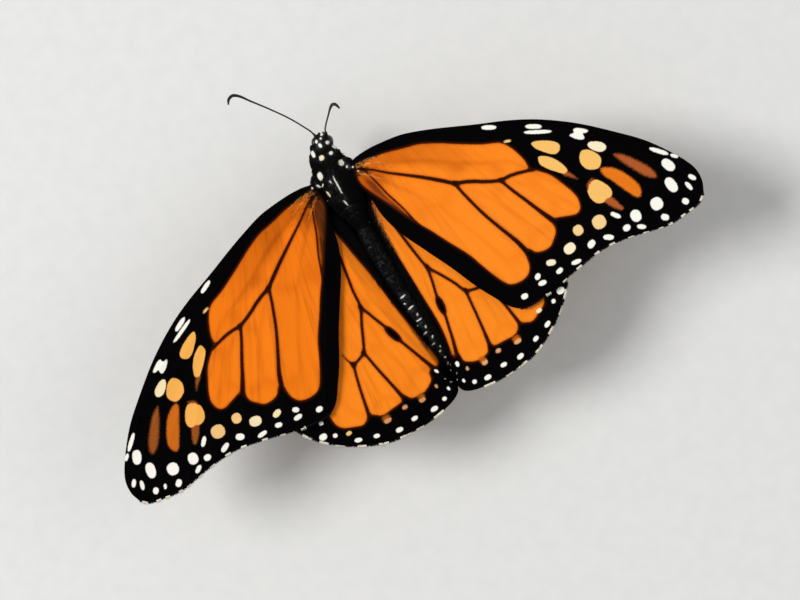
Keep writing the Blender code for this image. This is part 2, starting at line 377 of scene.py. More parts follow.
@dataclass(frozen=True)
class Tuft:
    """One lock of scale-hairs: a thin pointed vane, curved along its length, closed all round."""

    bend: float = 0.35
    taper: float = 0.75

    def template(self) -> tuple[np.ndarray, np.ndarray]:
        """Vertices of a lock one unit long and wide, along +X and rising in +Z, and its triangles."""
        bm = bmesh.new()
        bmesh.ops.create_cone(bm, cap_ends=True, cap_tris=True, segments=3, radius1=0.5, radius2=0.0,
                              depth=1.0)
        long_edges = [e for e in bm.edges if abs(e.verts[0].co.z - e.verts[1].co.z) > 0.5]
        bmesh.ops.subdivide_edges(bm, edges=long_edges, cuts=1, use_grid_fill=True)
        bmesh.ops.triangulate(bm, faces=bm.faces[:])
        for v in bm.verts:
            t = v.co.z + 0.5
            fat = self.taper / 0.5 if 0.2 < t < 0.8 else 1.0
            v.co = Vector((t, v.co.x * fat, v.co.y * fat * 0.6 + self.bend * t * (1.0 - t)))
        bmesh.ops.recalc_face_normals(bm, faces=bm.faces[:])
        bm.verts.ensure_lookup_table()
        pts = np.array([v.co[:] for v in bm.verts])
        tris = np.array([[v.index for v in f.verts] for f in bm.faces])
        bm.free()
        return pts, tris


# How far a lock bows; the bow grows with its length, its thickness with its width.
LOCK_BOW = 0.35
# Each lock's patch of the baking map, as a share of it.
LOCK_PATCH = 0.0015


@dataclass
class Coat:
    """Many locks joined into one mesh: roots, the way each lies, sizes and marks."""

    root: np.ndarray
    normal: np.ndarray
    lie: np.ndarray
    length: np.ndarray
    width: np.ndarray
    lift: np.ndarray
    mark: np.ndarray
    unwrap: np.ndarray
    tuft: Tuft = Tuft()

    def lay(self, name: str, datum: Datum, hair: bpy.types.Material) -> None:
        """Put the coat in the model."""
        settle(name, self.build(name), datum, [hair])

    def build(self, name: str) -> bpy.types.Mesh:
        """Make the joined mesh, with attribute "mark" and its baking map.

        Args:
            name: name of the mesh.

        Returns:
            The mesh, in mm at the wing roots.
        """
        pts, tris = self.tuft.template()
        n, k = len(self.root), len(pts)
        flat = unit(self.lie - self.normal * np.sum(self.lie * self.normal, axis=1)[:, None])
        lean = flat * np.cos(self.lift)[:, None] + self.normal * np.sin(self.lift)[:, None]
        across = np.cross(self.normal, flat)
        rise = np.cross(lean, across)
        x, y, z = (pts[None, :, i:i + 1] for i in range(3))
        length, width = self.length[:, None, None], self.width[:, None, None]
        arch = LOCK_BOW * x * (1 - x)
        co = (self.root[:, None, :] + lean[:, None, :] * (x * length) + across[:, None, :] * (y * width)
              + rise[:, None, :] * ((z - arch) * width + arch * LOCK_BOW * length))
        faces = (tris[None] + np.arange(n)[:, None, None] * k).reshape(-1, 3)
        mesh = bpy.data.meshes.new(name)
        mesh.vertices.add(n * k)
        mesh.vertices.foreach_set("co", co.astype(np.float32).ravel())
        mesh.loops.add(faces.size)
        mesh.loops.foreach_set("vertex_index", faces.astype(np.int32).ravel())
        mesh.polygons.add(len(faces))
        mesh.polygons.foreach_set("loop_start", np.arange(0, faces.size, 3, dtype=np.int32))
        mesh.update(calc_edges=True)
        mesh.validate()
        mesh.shade_smooth()
        tone = np.repeat(self.mark[:, None, :], k, axis=1)
        tone[:, :, 2] = pts[None, :, 0]
        paint(mesh, "mark", tone.reshape(-1, 3))
        spot = columns(pts[:, 0] * 2 - 1, np.clip(pts[:, 1] * 2, -1, 1)) * LOCK_PATCH
        uv = self.unwrap[:, None, :] * (1 - 2 * LOCK_PATCH) + LOCK_PATCH + spot[None]
        map_corners(mesh, uv.reshape(-1, 2)[read_corners(mesh)])
        return mesh


def scatter(mesh: bpy.types.Mesh, per_mm2: float, rng: np.random.Generator,
            weight: Callable[[np.ndarray], np.ndarray]) -> tuple[np.ndarray, np.ndarray, np.ndarray]:
    """Spread root points over a mesh.

    Args:
        mesh: the skin, in mm.
        per_mm2: roots for each square millimetre where the weight is one.
        rng: the random source.
        weight: a share from 0 to 1 for each point.

    Returns:
        Root points, surface normals there, and the "place" attribute there.
    """
    mesh.calc_loop_triangles()
    tri = np.array([t.vertices[:] for t in mesh.loop_triangles])
    co, normals = read_points(mesh), read_rows(mesh.vertex_normals)
    place = read_rows(mesh.attributes["place"].data)
    a, b, c = co[tri[:, 0]], co[tri[:, 1]], co[tri[:, 2]]
    area = 0.5 * np.linalg.norm(np.cross(b - a, c - a), axis=1)
    share = area * np.clip(weight((a + b + c) / 3), 0.0, 1.0)
    count = int(share.sum() * per_mm2)
    pick = rng.choice(len(tri), size=count, p=share / share.sum())
    r1, r2 = np.sqrt(rng.random(count)), rng.random(count)
    w = np.stack([1 - r1, r1 * (1 - r2), r1 * r2], axis=1)
    root = np.einsum("nk,nkd->nd", w, co[tri[pick]])
    normal = unit(np.einsum("nk,nkd->nd", w, normals[tri[pick]]))
    corner = place[tri[pick]].astype(float)
    wraps = corner[:, :, 1].max(axis=1) - corner[:, :, 1].min(axis=1) > 0.5
    corner[wraps, :, 1] = np.where(corner[wraps, :, 1] < 0.5, corner[wraps, :, 1] + 1, corner[wraps, :, 1])
    spot = np.einsum("nk,nkd->nd", w, corner)
    spot[:, 1] %= 1.0
    return root, normal, spot


# --- materials -----------------------------------------------------------------------------------------

Tree = bpy.types.NodeTree
Socket = bpy.types.NodeSocket
Stops = Sequence[tuple[float, str]]
CHITIN_IOR = 1.56
MARK_STOPS: Stops = ((0.0, "e9e6da"), (0.12, "e8dab6"), (0.25, "e6c184"), (0.38, "e8b361"), (0.5, "cf9a6c"),
                     (0.62, "d87016"), (0.75, "b05610"), (0.87, "a45326"), (1.0, "4a250f"))
# Painted shade: the marks' ramp darkened for the left wings, which are turned a little from the light.
SHADED_STOPS: Stops = ((0.0, "e8e3d8"), (0.12, "e4d0a6"), (0.25, "e3b576"), (0.38, "e4a34c"), (0.5, "c68a5c"),
                     (0.62, "bc5f14"), (0.75, "94500e"), (0.87, "8e4a1c"), (1.0, "44210d"))


def add_node(tree: Tree, kind: str, settings: dict[str, Any] | None = None,
             inputs: dict[Any, Any] | None = None) -> bpy.types.Node:
    """Add one node with its settings and socket values or links.

    Args:
        tree: the material's node tree.
        kind: the node's type, without the "ShaderNode" in front.
        settings: attributes of the node.
        inputs: sockets by name or number; a socket as value is linked, anything else is set.

    Returns:
        The node.
    """
    node = tree.nodes.new("ShaderNode" + kind)
    for key, value in (settings or {}).items():
        setattr(node, key, value)
    for key, value in (inputs or {}).items():
        if isinstance(value, Socket):
            tree.links.new(value, node.inputs[key])
        else:
            node.inputs[key].default_value = value
    return node


def painted(tree: Tree, name: str) -> Sequence[Socket]:
    """The three numbers that paint stored under this name, one socket each."""
    vector = add_node(tree, "Attribute", {"attribute_name": name}).outputs["Vector"]
    return add_node(tree, "SeparateXYZ", None, {0: vector}).outputs


def noise(tree: Tree, cell: float, detail: float) -> Socket:
    """Soft noise in the piece's own frame, with cells so many mm wide."""
    where = add_node(tree, "TexCoord").outputs["Object"]
    inputs = {"Vector": where, "Scale": 1 / (cell * MM), "Detail": detail}
    return add_node(tree, "TexNoise", None, inputs).outputs["Fac"]


def cells(tree: Tree, cell: float, feature: str = "F1", randomness: float = 1.0) -> Socket:
    """Cells so many mm wide in the piece's own frame, as the distance from their middles."""
    where = add_node(tree, "TexCoord").outputs["Object"]
    inputs = {"Vector": where, "Scale": 1 / (cell * MM), "Randomness": randomness}
    return add_node(tree, "TexVoronoi", {"feature": feature}, inputs).outputs["Distance"]


def add(tree: Tree, a: Socket, b: Socket) -> Socket:
    """The sum of two values."""
    return add_node(tree, "Math", {"operation": "ADD"}, {0: a, 1: b}).outputs[0]


def remap(tree: Tree, value: Socket, span: tuple[float, float], onto: tuple[float, float] = (0.0, 1.0),
          smooth: bool = True) -> Socket:
    """Map a value's span onto another, level beyond its ends, with a smooth or a straight rise."""
    inputs = {"Value": value, "From Min": span[0], "From Max": span[1], "To Min": onto[0], "To Max": onto[1]}
    kind = "SMOOTHSTEP" if smooth else "LINEAR"
    return add_node(tree, "MapRange", {"interpolation_type": kind}, inputs).outputs[0]


def blend(tree: Tree, share: Socket, low: Any, high: Any, kind: str = "MIX") -> Socket:
    """Blend from one colour to another, each a socket or linear values."""
    return add_node(tree, "Mix", {"data_type": "RGBA", "blend_type": kind},
                    {0: share, 6: low, 7: high}).outputs[2]


def ramp(tree: Tree, value: Socket, stops: Stops) -> Socket:
    """Colour of a value on a ramp of positions and sRGB hex colours."""
    node = add_node(tree, "ValToRGB", None, {"Fac": value})
    elements = node.color_ramp.elements
    while len(elements) < len(stops):
        elements.new(0.5)
    for element, (place, code) in zip(elements, stops):
        element.position = place
        element.color = linear(code)
    return node.outputs[0]


def bump(tree: Tree, height: Socket, strength: float, depth: float, invert: bool = False) -> Socket:
    """Relief so many mm deep, as a normal."""
    return add_node(tree, "Bump", {"invert": invert},
                    {"Height": height, "Strength": strength, "Distance": depth * MM}).outputs[0]


def make_material(name: str) -> tuple[bpy.types.Material, Tree]:
    """A material with an empty Principled shader, ready for nodes."""
    mat = bpy.data.materials.new(name)
    mat.use_nodes = True
    return mat, mat.node_tree


def finish(tree: Tree, colour: Socket, settings: dict[str, float], normal: Socket | None = None) -> None:
    """Link the shader's colour and normal, and set its other inputs by name."""
    shader = tree.nodes["Principled BSDF"]
    tree.links.new(colour, shader.inputs["Base Color"])
    if normal:
        tree.links.new(normal, shader.inputs["Normal"])
    for name, value in settings.items():
        shader.inputs[name].default_value = value


@dataclass(frozen=True)
class WingScales:
    """Overlapping wing scales, dusty and matt with a faint silky gloss, in rows across the veins.

    The eye reads flat saturated colour, a soft feathery edge a scale or two wide where two colours meet,
    and a slight gloss along the rows. The scales' ridges scatter light, so the roughness is high, the
    specular level low and the IOR of 1.5 a little under bare chitin's.
    """

    face: Face
    orange: tuple[str, str, str]
    streak: float = 0.25
    stops: Stops = MARK_STOPS
    deep: str = "6e3212"

    def along(self, tree: Tree, lie: Socket, across: float, length: float) -> Socket:
        """The wing's lie in cells so many mm across and along the veins."""
        inputs = {"Vector": lie, "Scale": (1 / across, 1 / length, 1.0)}
        return add_node(tree, "Mapping", None, inputs).outputs[0]

    def build(self) -> bpy.types.Material:
        """Make the material for one face of a wing."""
        mat, tree = make_material(f"wing_scales_{self.face.value}_{self.orange[1]}")
        under = self.face is Face.UNDER
        dark, mid, light = self.orange
        ink, spot, tone = painted(tree, "mark")
        shade, crease, _ = painted(tree, "form")
        lie = add_node(tree, "Attribute", {"attribute_name": "lie"}).outputs["Vector"]
        # Scales are 0.1 mm long; the ragged edge they leave is drawn 0.16 mm wide so that it shows.
        ragged = remap(tree, noise(tree, 0.16, 2.0), (0.3, 0.7), (-0.035, 0.035), smooth=False)
        in_orange = remap(tree, add(tree, ink, ragged), (-0.08, 0.13))
        in_spot = remap(tree, add(tree, spot, ragged), (-0.02, 0.14))
        cloud = remap(tree, noise(tree, 3.5, 3.0), (0.2, 0.8), (0.44, 0.56), smooth=False)
        ground = ramp(tree, add(tree, shade, cloud),
                      ((0.0, dark if under else self.deep), (0.15, dark), (0.62, mid), (1.0, light)))
        # The ground reddens beside the black.
        edge = remap(tree, ink, (0.0, 0.42), (0.42, 0.0))
        edged = blend(tree, edge, ground, linear("d8d8d6" if under else "c29a9c"), "MULTIPLY")
        # Painted shade darkens the creases midway between veins; the streaks along the lie are part tone,
        # part painted shade.
        streaks = add_node(tree, "TexNoise", None,
                           {"Vector": self.along(tree, lie, 0.62, 14.0), "Scale": 1.0, "Detail": 3.0,
                            "Roughness": 0.6}).outputs["Fac"]
        threads = remap(tree, streaks, (0.46, 0.74), (0.0, self.streak))
        crease_shade_and_streaks = add_node(tree, "Math", {"operation": "MULTIPLY_ADD"},
                        {0: crease, 1: self.streak * 0.3, 2: threads}).outputs[0]
        crease_shaded = blend(tree, crease_shade_and_streaks, edged, linear("8a3a0a"))
        # Thin veins are brown, broad bands near black.
        depth = remap(tree, ink, (-0.55, -0.12), smooth=False)
        black = ramp(tree, depth, ((0.0, "020102"), (0.45, "060201"), (1.0, "331002")))
        base = blend(tree, in_orange, black, crease_shaded)
        full = blend(tree, in_spot, base, ramp(tree, tone, self.stops))
        # Rows of scales 0.1 mm apart are drawn coarser, so that they show.
        rows = add_node(tree, "TexVoronoi", {"feature": "F1"},
                        {"Vector": self.along(tree, lie, 0.13, 0.22), "Scale": 1.0}).outputs["Distance"]
        finish(tree, full, {"Roughness": 0.7, "IOR": 1.5, "Specular IOR Level": 0.015},
               bump(tree, rows, 0.25, 0.05))
        return mat


@dataclass(frozen=True)
class Cuticle:
    """Insect cuticle, near black: hard and a little glossy where bare, roughened by fine hair sockets."""

    name: str
    dark: str = "030202"
    light: str = "0b0807"
    roughness: float = 0.5
    pit_mm: float = 0.12
    depth_mm: float = 0.02

    def build(self) -> bpy.types.Material:
        """Make the material; pale marks follow the piece's "mark" attribute where it has one."""
        mat, tree = make_material(self.name)
        share, tone, _ = painted(tree, "mark")
        ground = ramp(tree, noise(tree, 0.9, 4.0), ((0.35, self.dark), (0.75, self.light)))
        full = blend(tree, share, ground, ramp(tree, tone, MARK_STOPS))
        finish(tree, full, {"Roughness": self.roughness, "IOR": CHITIN_IOR, "Specular IOR Level": 0.22},
               bump(tree, cells(tree, self.pit_mm), 0.6, self.depth_mm))
        return mat


@dataclass(frozen=True)
class ScaleHair:
    """Scale-hair of body and wing edges: soft, matt, lighter at the tips where light catches it."""

    name: str = "scale_hair"
    root: str = "020102"
    tip: str = "0b090a"

    def build(self) -> bpy.types.Material:
        """Make the material from each lock's mark (pale share, tone, position along the lock)."""
        mat, tree = make_material(self.name)
        share, tone, reach = painted(tree, "mark")
        dark = ramp(tree, reach, ((0.1, self.root), (1.0, self.tip)))
        full = blend(tree, share, dark, ramp(tree, tone, MARK_STOPS))
        finish(tree, full, {"Roughness": 0.75, "IOR": CHITIN_IOR, "Specular IOR Level": 0.08})
        return mat


@dataclass(frozen=True)
class CompoundEye:
    """Compound eye: thousands of hexagonal lenses, near black, smooth enough to hold a highlight."""

    name: str = "compound_eye"

    def build(self) -> bpy.types.Material:
        """Make the material. Facets are 0.025 mm; they are drawn 0.07 mm wide so that they show."""
        mat, tree = make_material(self.name)
        ground = ramp(tree, noise(tree, 0.8, 2.0), ((0.35, "040202"), (0.7, "0d0706")))
        finish(tree, ground, {"Roughness": 0.20, "IOR": CHITIN_IOR, "Specular IOR Level": 0.3,
                              "Coat Weight": 0.25, "Coat Roughness": 0.08},
               bump(tree, cells(tree, 0.07, "SMOOTH_F1", 0.25), 0.5, 0.012, invert=True))
        return mat


# --- wings ---------------------------------------------------------------------------------------------

# Where the wings' own plans start, out from the body's middle and forwards, mm.
FORE_ROOT = (3.4, 0.0)
HIND_ROOT = (3.0, -5.0)
# A spot's outline is a little squarer than an ellipse.
SPOT_POWER = 2.3
# Points along a stroke and along a vein; mm across the veins for each radian round a wing's pole.
STREAK_STEPS = 14
VEIN_STEPS = 26
FAN = 28.0


def to_stroke(p: np.ndarray, course: Knots, widths: Sequence[float], steps: int) -> np.ndarray:
    """Distance from points to the edge of a stroke, negative inside it.

    Args:
        p: rows of (u, v), mm.
        course: knots of the stroke's middle.
        widths: its full widths at evenly spaced places.
        steps: points along it.

    Returns:
        One distance for each point.
    """
    t = np.linspace(0.0, 1.0, steps)
    half = np.interp(t, np.linspace(0, 1, len(widths)), np.array(widths) / 2)
    return to_line(p, curve(course, t), half)


@dataclass(frozen=True)
class Spot:
    """One marking: middle, length, width (mm), turn of its length (degrees), tone and soft edge."""

    u: float
    v: float
    long: float
    wide: float
    turn: float = 0.0
    tone: Tone = Tone.WHITE
    soft: float = 1.0

    def reach(self, p: np.ndarray) -> np.ndarray:
        """Distance inside the spot's edge, positive inside, shrunk by its softness."""
        c, s = math.cos(math.radians(self.turn)), math.sin(math.radians(self.turn))
        x = (p[:, 0] - self.u) * c + (p[:, 1] - self.v) * s
        y = (p[:, 1] - self.v) * c - (p[:, 0] - self.u) * s
        a, b = self.long / 2, self.wide / 2
        k = (np.abs(x / a) ** SPOT_POWER + np.abs(y / b) ** SPOT_POWER) ** (1 / SPOT_POWER)
        grad = np.hypot(x / a ** 2, y / b ** 2) / np.maximum(np.hypot(x / a, y / b), 1e-6)
        return (1.0 - k) / np.maximum(grad, 1e-6) / self.soft


@dataclass(frozen=True)
class Patch:
    """A larger marking with an outline of its own."""

    outline: Knots
    tone: Tone = Tone.APRICOT
    soft: float = 1.0

    def reach(self, p: np.ndarray) -> np.ndarray:
        """Distance inside the patch's edge, positive inside, shrunk by its softness."""
        return to_outline(p, ring(self.outline, 48)) / self.soft


@dataclass(frozen=True)
class Streak:
    """A marking drawn as one stroke, such as the smoky tail of a patch."""

    course: Knots
    widths: tuple[float, ...]
    tone: Tone = Tone.BROWN
    soft: float = 1.0

    def reach(self, p: np.ndarray) -> np.ndarray:
        """Distance inside the stroke's edge, positive inside, shrunk by its softness."""
        return -to_stroke(p, self.course, self.widths, STREAK_STEPS) / self.soft


@dataclass(frozen=True)
class Vein:
    """A vein: its course and its full width at evenly spaced places along it."""

    course: Knots
    widths: tuple[float, ...]

    def reach(self, p: np.ndarray) -> np.ndarray:
        """Distance from the vein's edge, positive outside it."""
        return to_stroke(p, self.course, self.widths, VEIN_STEPS)


def to_course(p: np.ndarray, course: Knots) -> np.ndarray:
    """Distance from points to the middle of a vein."""
    return to_stroke(p, course, (0.0,), VEIN_STEPS)


@dataclass(frozen=True)
class Markings:
    """The pattern of one wing, in its own plan: orange ground, veins, ribs and pale marks."""

    ground: Knots
    veins: tuple[Vein, ...]
    ribs: tuple[Knots, ...]
    marks: tuple[Spot | Patch | Streak, ...]
    pole: tuple[float, float]
    blots: tuple[Spot, ...] = ()
    rounding: float = 0.55

    def read(self, p: np.ndarray) -> dict[str, np.ndarray]:
        """Work out every field of the pattern.

        Args:
            p: rows of (u, v) in the wing's plan, mm.

        Returns:
            ink (mm inside orange), spot (mm inside a mark), tone of the nearest mark, rib (mm to the
            nearest vein's middle), crease (1 midway between veins) and lie (mm across and along).
        """
        field_edge = to_outline(p, ring(self.ground, 260))
        ink = field_edge
        for vein in self.veins:
            ink = soft_min(ink, vein.reach(p), self.rounding)
        for blot in self.blots:
            ink = soft_min(ink, -blot.reach(p), 0.3)
        middles = [to_course(p, vein.course) for vein in self.veins]
        near = np.sort(np.stack([np.abs(field_edge)] + middles), axis=0)
        crease = np.exp(-((near[1] - near[0]) / 0.7) ** 2) * (ink > 0.3)
        spot = np.full(len(p), -9.0)
        tone = np.zeros(len(p))
        for mark in self.marks:
            reach = mark.reach(p)
            nearer = reach > spot
            tone[nearer] = mark.tone.value
            spot = np.maximum(spot, reach)
        rx, ry = p[:, 0] - self.pole[0], p[:, 1] - self.pole[1]
        lie = columns(np.arctan2(rx, -ry) * FAN, np.hypot(rx, ry))
        ribs = middles + [to_course(p, course) for course in self.ribs]
        return {"ink": ink, "spot": spot, "tone": tone, "rib": np.min(np.stack(ribs), axis=0),
                "crease": crease, "lie": lie}


@dataclass
class Wing:
    """One wing: outline, place, pattern and meshes."""

    name: str
    side: Side
    root: tuple[float, float]
    turn: float
    costa: Knots
    trail: Knots
    drop: float
    grid: tuple[int, int]
    markings: Markings
    fringe_from: tuple[float, float]
    dashes: tuple[tuple[float, float, float], ...]
    upper: WingScales
    under: WingScales
    fringe_per_mm: float = 34.0
    thick_root: float = 0.42
    thick_blade: float = 0.16
    rise: float = 0.13
    trail_fall: float = 0.09
    droop: float = 0.0009
    fold: Knots = ()
    dusk: Callable[[np.ndarray], np.ndarray] | None = None
    hair_tone: tuple[float, float] = (0.60, 0.72)

    def plan(self, s: np.ndarray, t: np.ndarray) -> np.ndarray:
        """Plan position for shares s along and t across the wing."""
        lead, back = curve(self.costa, s), curve(self.trail, s)
        return lead + (back - lead) * t[:, None]

    def stand(self, p: np.ndarray, lift: np.ndarray) -> np.ndarray:
        """Put plan points on the wing's sheet, raised by lift, on the wing's own side."""
        c, s = math.cos(math.radians(self.turn)), math.sin(math.radians(self.turn))
        x = p[:, 0] * c - p[:, 1] * s + self.root[0]
        y = p[:, 0] * s + p[:, 1] * c + self.root[1]
        out = np.abs(x) - FORE_ROOT[0]
        z = self.rise * out - self.trail_fall * y - self.droop * (out ** 2 + y ** 2) - self.drop
        if self.fold:
            at, edge, wide, deep = np.array(self.fold, float)[::-1].T
            wide = np.interp(p[:, 1], at, wide)
            inside = np.maximum(np.interp(p[:, 1], at, edge) + wide - p[:, 0], 0.0) / wide
            z -= np.interp(p[:, 1], at, deep) * inside ** 1.4
        return columns(x * self.side.way, y, z + lift)

    def relief(self, p: np.ndarray, fields: dict[str, np.ndarray]) -> np.ndarray:
        """Height of the membrane's folds: veins stand up, the cells between them sag."""
        veins = 0.07 * bell(fields["rib"], 0.0, 0.22)
        sag = -0.10 * soft_step(0.0, 2.0, fields["rib"])
        pleat = 0.05 * fields["crease"]
        wave = 0.10 * np.sin(fields["lie"][:, 0] * 0.9) * soft_step(4.0, 18.0, fields["lie"][:, 1])
        return veins + sag + pleat + wave

    def build(self, datum: Datum) -> None:
        """Model and dress the blade."""
        bm = bmesh.new()
        bmesh.ops.create_grid(bm, x_segments=self.grid[0], y_segments=self.grid[1], size=0.5)
        share = np.array([v.co[:2] for v in bm.verts]) + 0.5
        flat = self.plan(share[:, 0], share[:, 1])
        for v, q in zip(bm.verts, flat):
            v.co = Vector((q[0], q[1], 0.0))
        tips = [v for v, q in zip(bm.verts, share) if q[0] > 0.999]
        bmesh.ops.remove_doubles(bm, verts=tips, dist=1e-3)
        skin = bmesh.ops.extrude_face_region(bm, geom=bm.faces[:])
        lower = [g for g in skin["geom"] if isinstance(g, bmesh.types.BMVert)]
        bmesh.ops.translate(bm, verts=lower, vec=(0.0, 0.0, -1.0))
        bmesh.ops.recalc_face_normals(bm, faces=bm.faces[:])
        if bm.calc_volume(signed=True) < 0:
            bmesh.ops.reverse_faces(bm, faces=bm.faces[:])
        for f in bm.faces:
            f.material_index = 1 if all(v.co.z < -0.5 for v in f.verts) else 0
        if self.side is Side.LEFT:
            bmesh.ops.reverse_faces(bm, faces=bm.faces[:])
        mesh = mesh_of(self.name + "_blade", bm)
        flat = read_points(mesh)
        p, under = flat[:, :2], flat[:, 2] < -0.5
        fields = self.markings.read(p)
        far = np.hypot(p[:, 0], p[:, 1])
        thick = self.thick_blade + (self.thick_root - self.thick_blade) * np.exp(-far / 4.0)
        lift = self.relief(p, fields)
        height = np.where(under, lift * 0.6 - thick / 2, lift + thick / 2)
        write_points(mesh, self.stand(p, height))
        # Deeper towards the root and lighter far out; the crease term is painted shade along the creases
        # between veins.
        shade = (0.22 - 0.30 * np.exp(-far / 7.0) + 0.06 * soft_step(6.0, 22.0, far)
                 - 0.10 * fields["crease"])
        if self.dusk:
            shade = shade - self.dusk(p)
        paint(mesh, "mark", columns(fields["ink"], fields["spot"], fields["tone"]))
        paint(mesh, "form", columns(shade, fields["crease"], 0.0))
        paint(mesh, "lie", columns(*fields["lie"].T, 0.0))
        # The under face takes the lower half of the baking map, the upper face the rest.
        u, v = ((p - p.min(axis=0)) / np.ptp(p, axis=0)).T
        uv = columns(u * 0.99 + 0.005, v * 0.485 + np.where(under, 0.005, 0.51))
        map_corners(mesh, uv[read_corners(mesh)])
        settle(self.name + "_blade", mesh, datum, [self.upper.build(), self.under.build()],
               [self.name])

    def fringe(self, datum: Datum, hair: bpy.types.Material, rng: np.random.Generator) -> None:
        """Short scales that stand out past the outer margin, white in the hollows between veins."""
        roots, lies, pales, shares = [], [], [], []
        for row, knots, start in ((0.25, self.trail, self.fringe_from[0]),
                                  (0.75, self.costa, self.fringe_from[1])):
            span = float(np.linalg.norm(np.diff(np.array(knots), axis=0), axis=1).sum()) * (1.0 - start)
            count = int(span * self.fringe_per_mm)
            if count < 2:
                continue
            s = np.linspace(start, 0.998, count) + rng.normal(0, 0.0005, count)
            edge, ahead = curve(knots, s), curve(knots, np.clip(s + 0.004, 0, 1))
            inner = self.plan(s, np.full(count, 0.9 if knots is self.trail else 0.1))
            step = ahead - edge
            out = columns(-step[:, 1], step[:, 0])
            out = unit(out * np.sign(np.sum(out * (edge - inner), axis=1))[:, None])
            inset = edge - out * 0.12
            root = self.stand(inset, np.zeros(count))
            lie = unit(self.stand(inset + out, np.zeros(count)) - root)
            pale = np.zeros(count)
            for u, v, long in self.dashes:
                gap = np.hypot(edge[:, 0] - u, edge[:, 1] - v)
                pale = np.maximum(pale, (gap < long / 2).astype(float))
            roots.append(root)
            lies.append(lie + rng.normal(0, 0.10, lie.shape))
            pales.append(pale)
            shares.append(columns(s, row))
        root, lie, pale, spot = (np.concatenate(x) for x in (roots, lies, pales, shares))
        count = len(spot)
        normal = np.tile((0.0, 0.0, 1.0), (count, 1))
        mark = columns(pale * rng.uniform(0.6, 1.0, count), 0.05, 0.0)
        coat = Coat(root, normal, lie, rng.uniform(0.26, 0.42, count) + 0.16 * pale, np.full(count, 0.15),
                    rng.uniform(-0.1, 0.1, count), mark, spot, Tuft(bend=0.05, taper=0.5))
        coat.lay(self.name + "_fringe", datum, hair)

    def root_hair(self, datum: Datum, hair: bpy.types.Material, rng: np.random.Generator, count: int,
                  reach: Callable[[np.random.Generator, int], tuple[np.ndarray, np.ndarray]],
                  length: tuple[float, float]) -> None:
        """Soft long hair over the root of the wing, on both faces, lying outwards.

        Args:
            datum: where the wing roots are.
            hair: the finish.
            rng: the random source.
            count: locks.
            reach: gives plan positions of the roots and plan directions of the lie.
            length: shortest and longest lock.
        """
        p, way = reach(rng, count)
        fields = self.markings.read(p)
        top = rng.random(count) < 0.7
        lift = np.where(top, 0.12, -0.12) + self.relief(p, fields)
        root = self.stand(p, lift)
        lie = self.stand(p + way, lift) - root
        lie += rng.normal(0, 0.12, lie.shape) * np.linalg.norm(lie, axis=1)[:, None]
        normal = np.tile((0.0, 0.0, 1.0), (count, 1)) * np.where(top, 1.0, -1.0)[:, None]
        tawny = soft_step(0.0, 0.35, fields["ink"]) * rng.uniform(0.6, 1.0, count)
        mark = columns(tawny, rng.uniform(*self.hair_tone, count), 0.0)
        span = np.ptp(p, axis=0) + 1e-6
        coat = Coat(root, normal, lie, rng.uniform(*length, count), rng.uniform(0.04, 0.07, count),
                    rng.uniform(0.10, 0.40, count), mark, (p - p.min(axis=0)) / span)
        coat.lay(self.name + "_root_hair", datum, hair)


FORE_COSTA: Knots = (
    (-1.2, 0.8), (1.5, 1.4), (4.8, 1.25), (8.3, 0.65), (12.3, -0.8), (18.2, -3.5), (23.2, -5.7),
    (27.3, -8.0), (31.5, -11.1), (35.5, -14.8), (38.6, -18.0), (41.2, -21.7), (42.6, -24.5),
    (42.7, -26.6), (42.1, -28.2))
FORE_TRAIL: Knots = (
    (-1.2, -1.3), (-0.2, -4.5), (0.2, -8.0), (1.3, -11.4), (3.4, -15.5), (5.5, -19.5),
    (7.4, -23.6), (9.0, -26.4), (10.1, -28.2), (11.3, -29.3), (12.8, -29.7), (15.4, -29.6),
    (18.0, -29.2), (20.6, -28.7), (23.2, -28.3), (25.6, -28.0), (28.0, -28.1), (31.0, -28.6),
    (33.8, -29.3), (36.2, -29.7), (38.6, -29.5), (40.7, -29.2), (42.1, -28.2))
HIND_COSTA: Knots = (
    (-1.8, 1.6), (0.3, 2.6), (2.4, 2.0), (4.8, -0.2), (9.0, -2.6), (13.4, -5.6), (17.4, -9.4),
    (20.2, -13.6), (21.3, -17.4), (21.4, -20.3), (20.35, -22.95), (18.85, -25.15), (17.05, -26.9),
    (14.9, -28.55), (12.4, -30.0), (9.8, -31.0), (7.0, -31.35))
HIND_TRAIL: Knots = (
    (-1.8, 0.5), (-2.0, -1.5), (-2.05, -3.5), (-1.65, -6.0), (-1.25, -8.5), (-1.1, -11.0), (-1.1, -15.0),
    (-1.2, -19.0), (-1.4, -22.5), (-1.75, -25.5), (-2.05, -28.0), (-2.0, -29.2), (-1.45, -30.3),
    (0.0, -31.0), (2.2, -31.35), (4.4, -31.5), (7.0, -31.35))

# The inner margin folds down beside the abdomen: rows of v, the margin's u, the fold's width and depth.
HIND_FOLD: Knots = (
    (1.0, -1.80, 0.80, 1.2), (-3.5, -2.05, 0.80, 1.5), (-6.0, -1.65, 0.75, 1.4), (-8.5, -1.25, 0.70, 1.3),
    (-15.0, -1.10, 0.60, 1.4), (-22.5, -1.40, 0.60, 1.8), (-25.5, -1.75, 0.65, 2.0),
    (-28.0, -2.05, 0.70, 1.4), (-29.5, -1.90, 0.60, 0.5), (-31.0, -1.00, 0.50, 0.0))

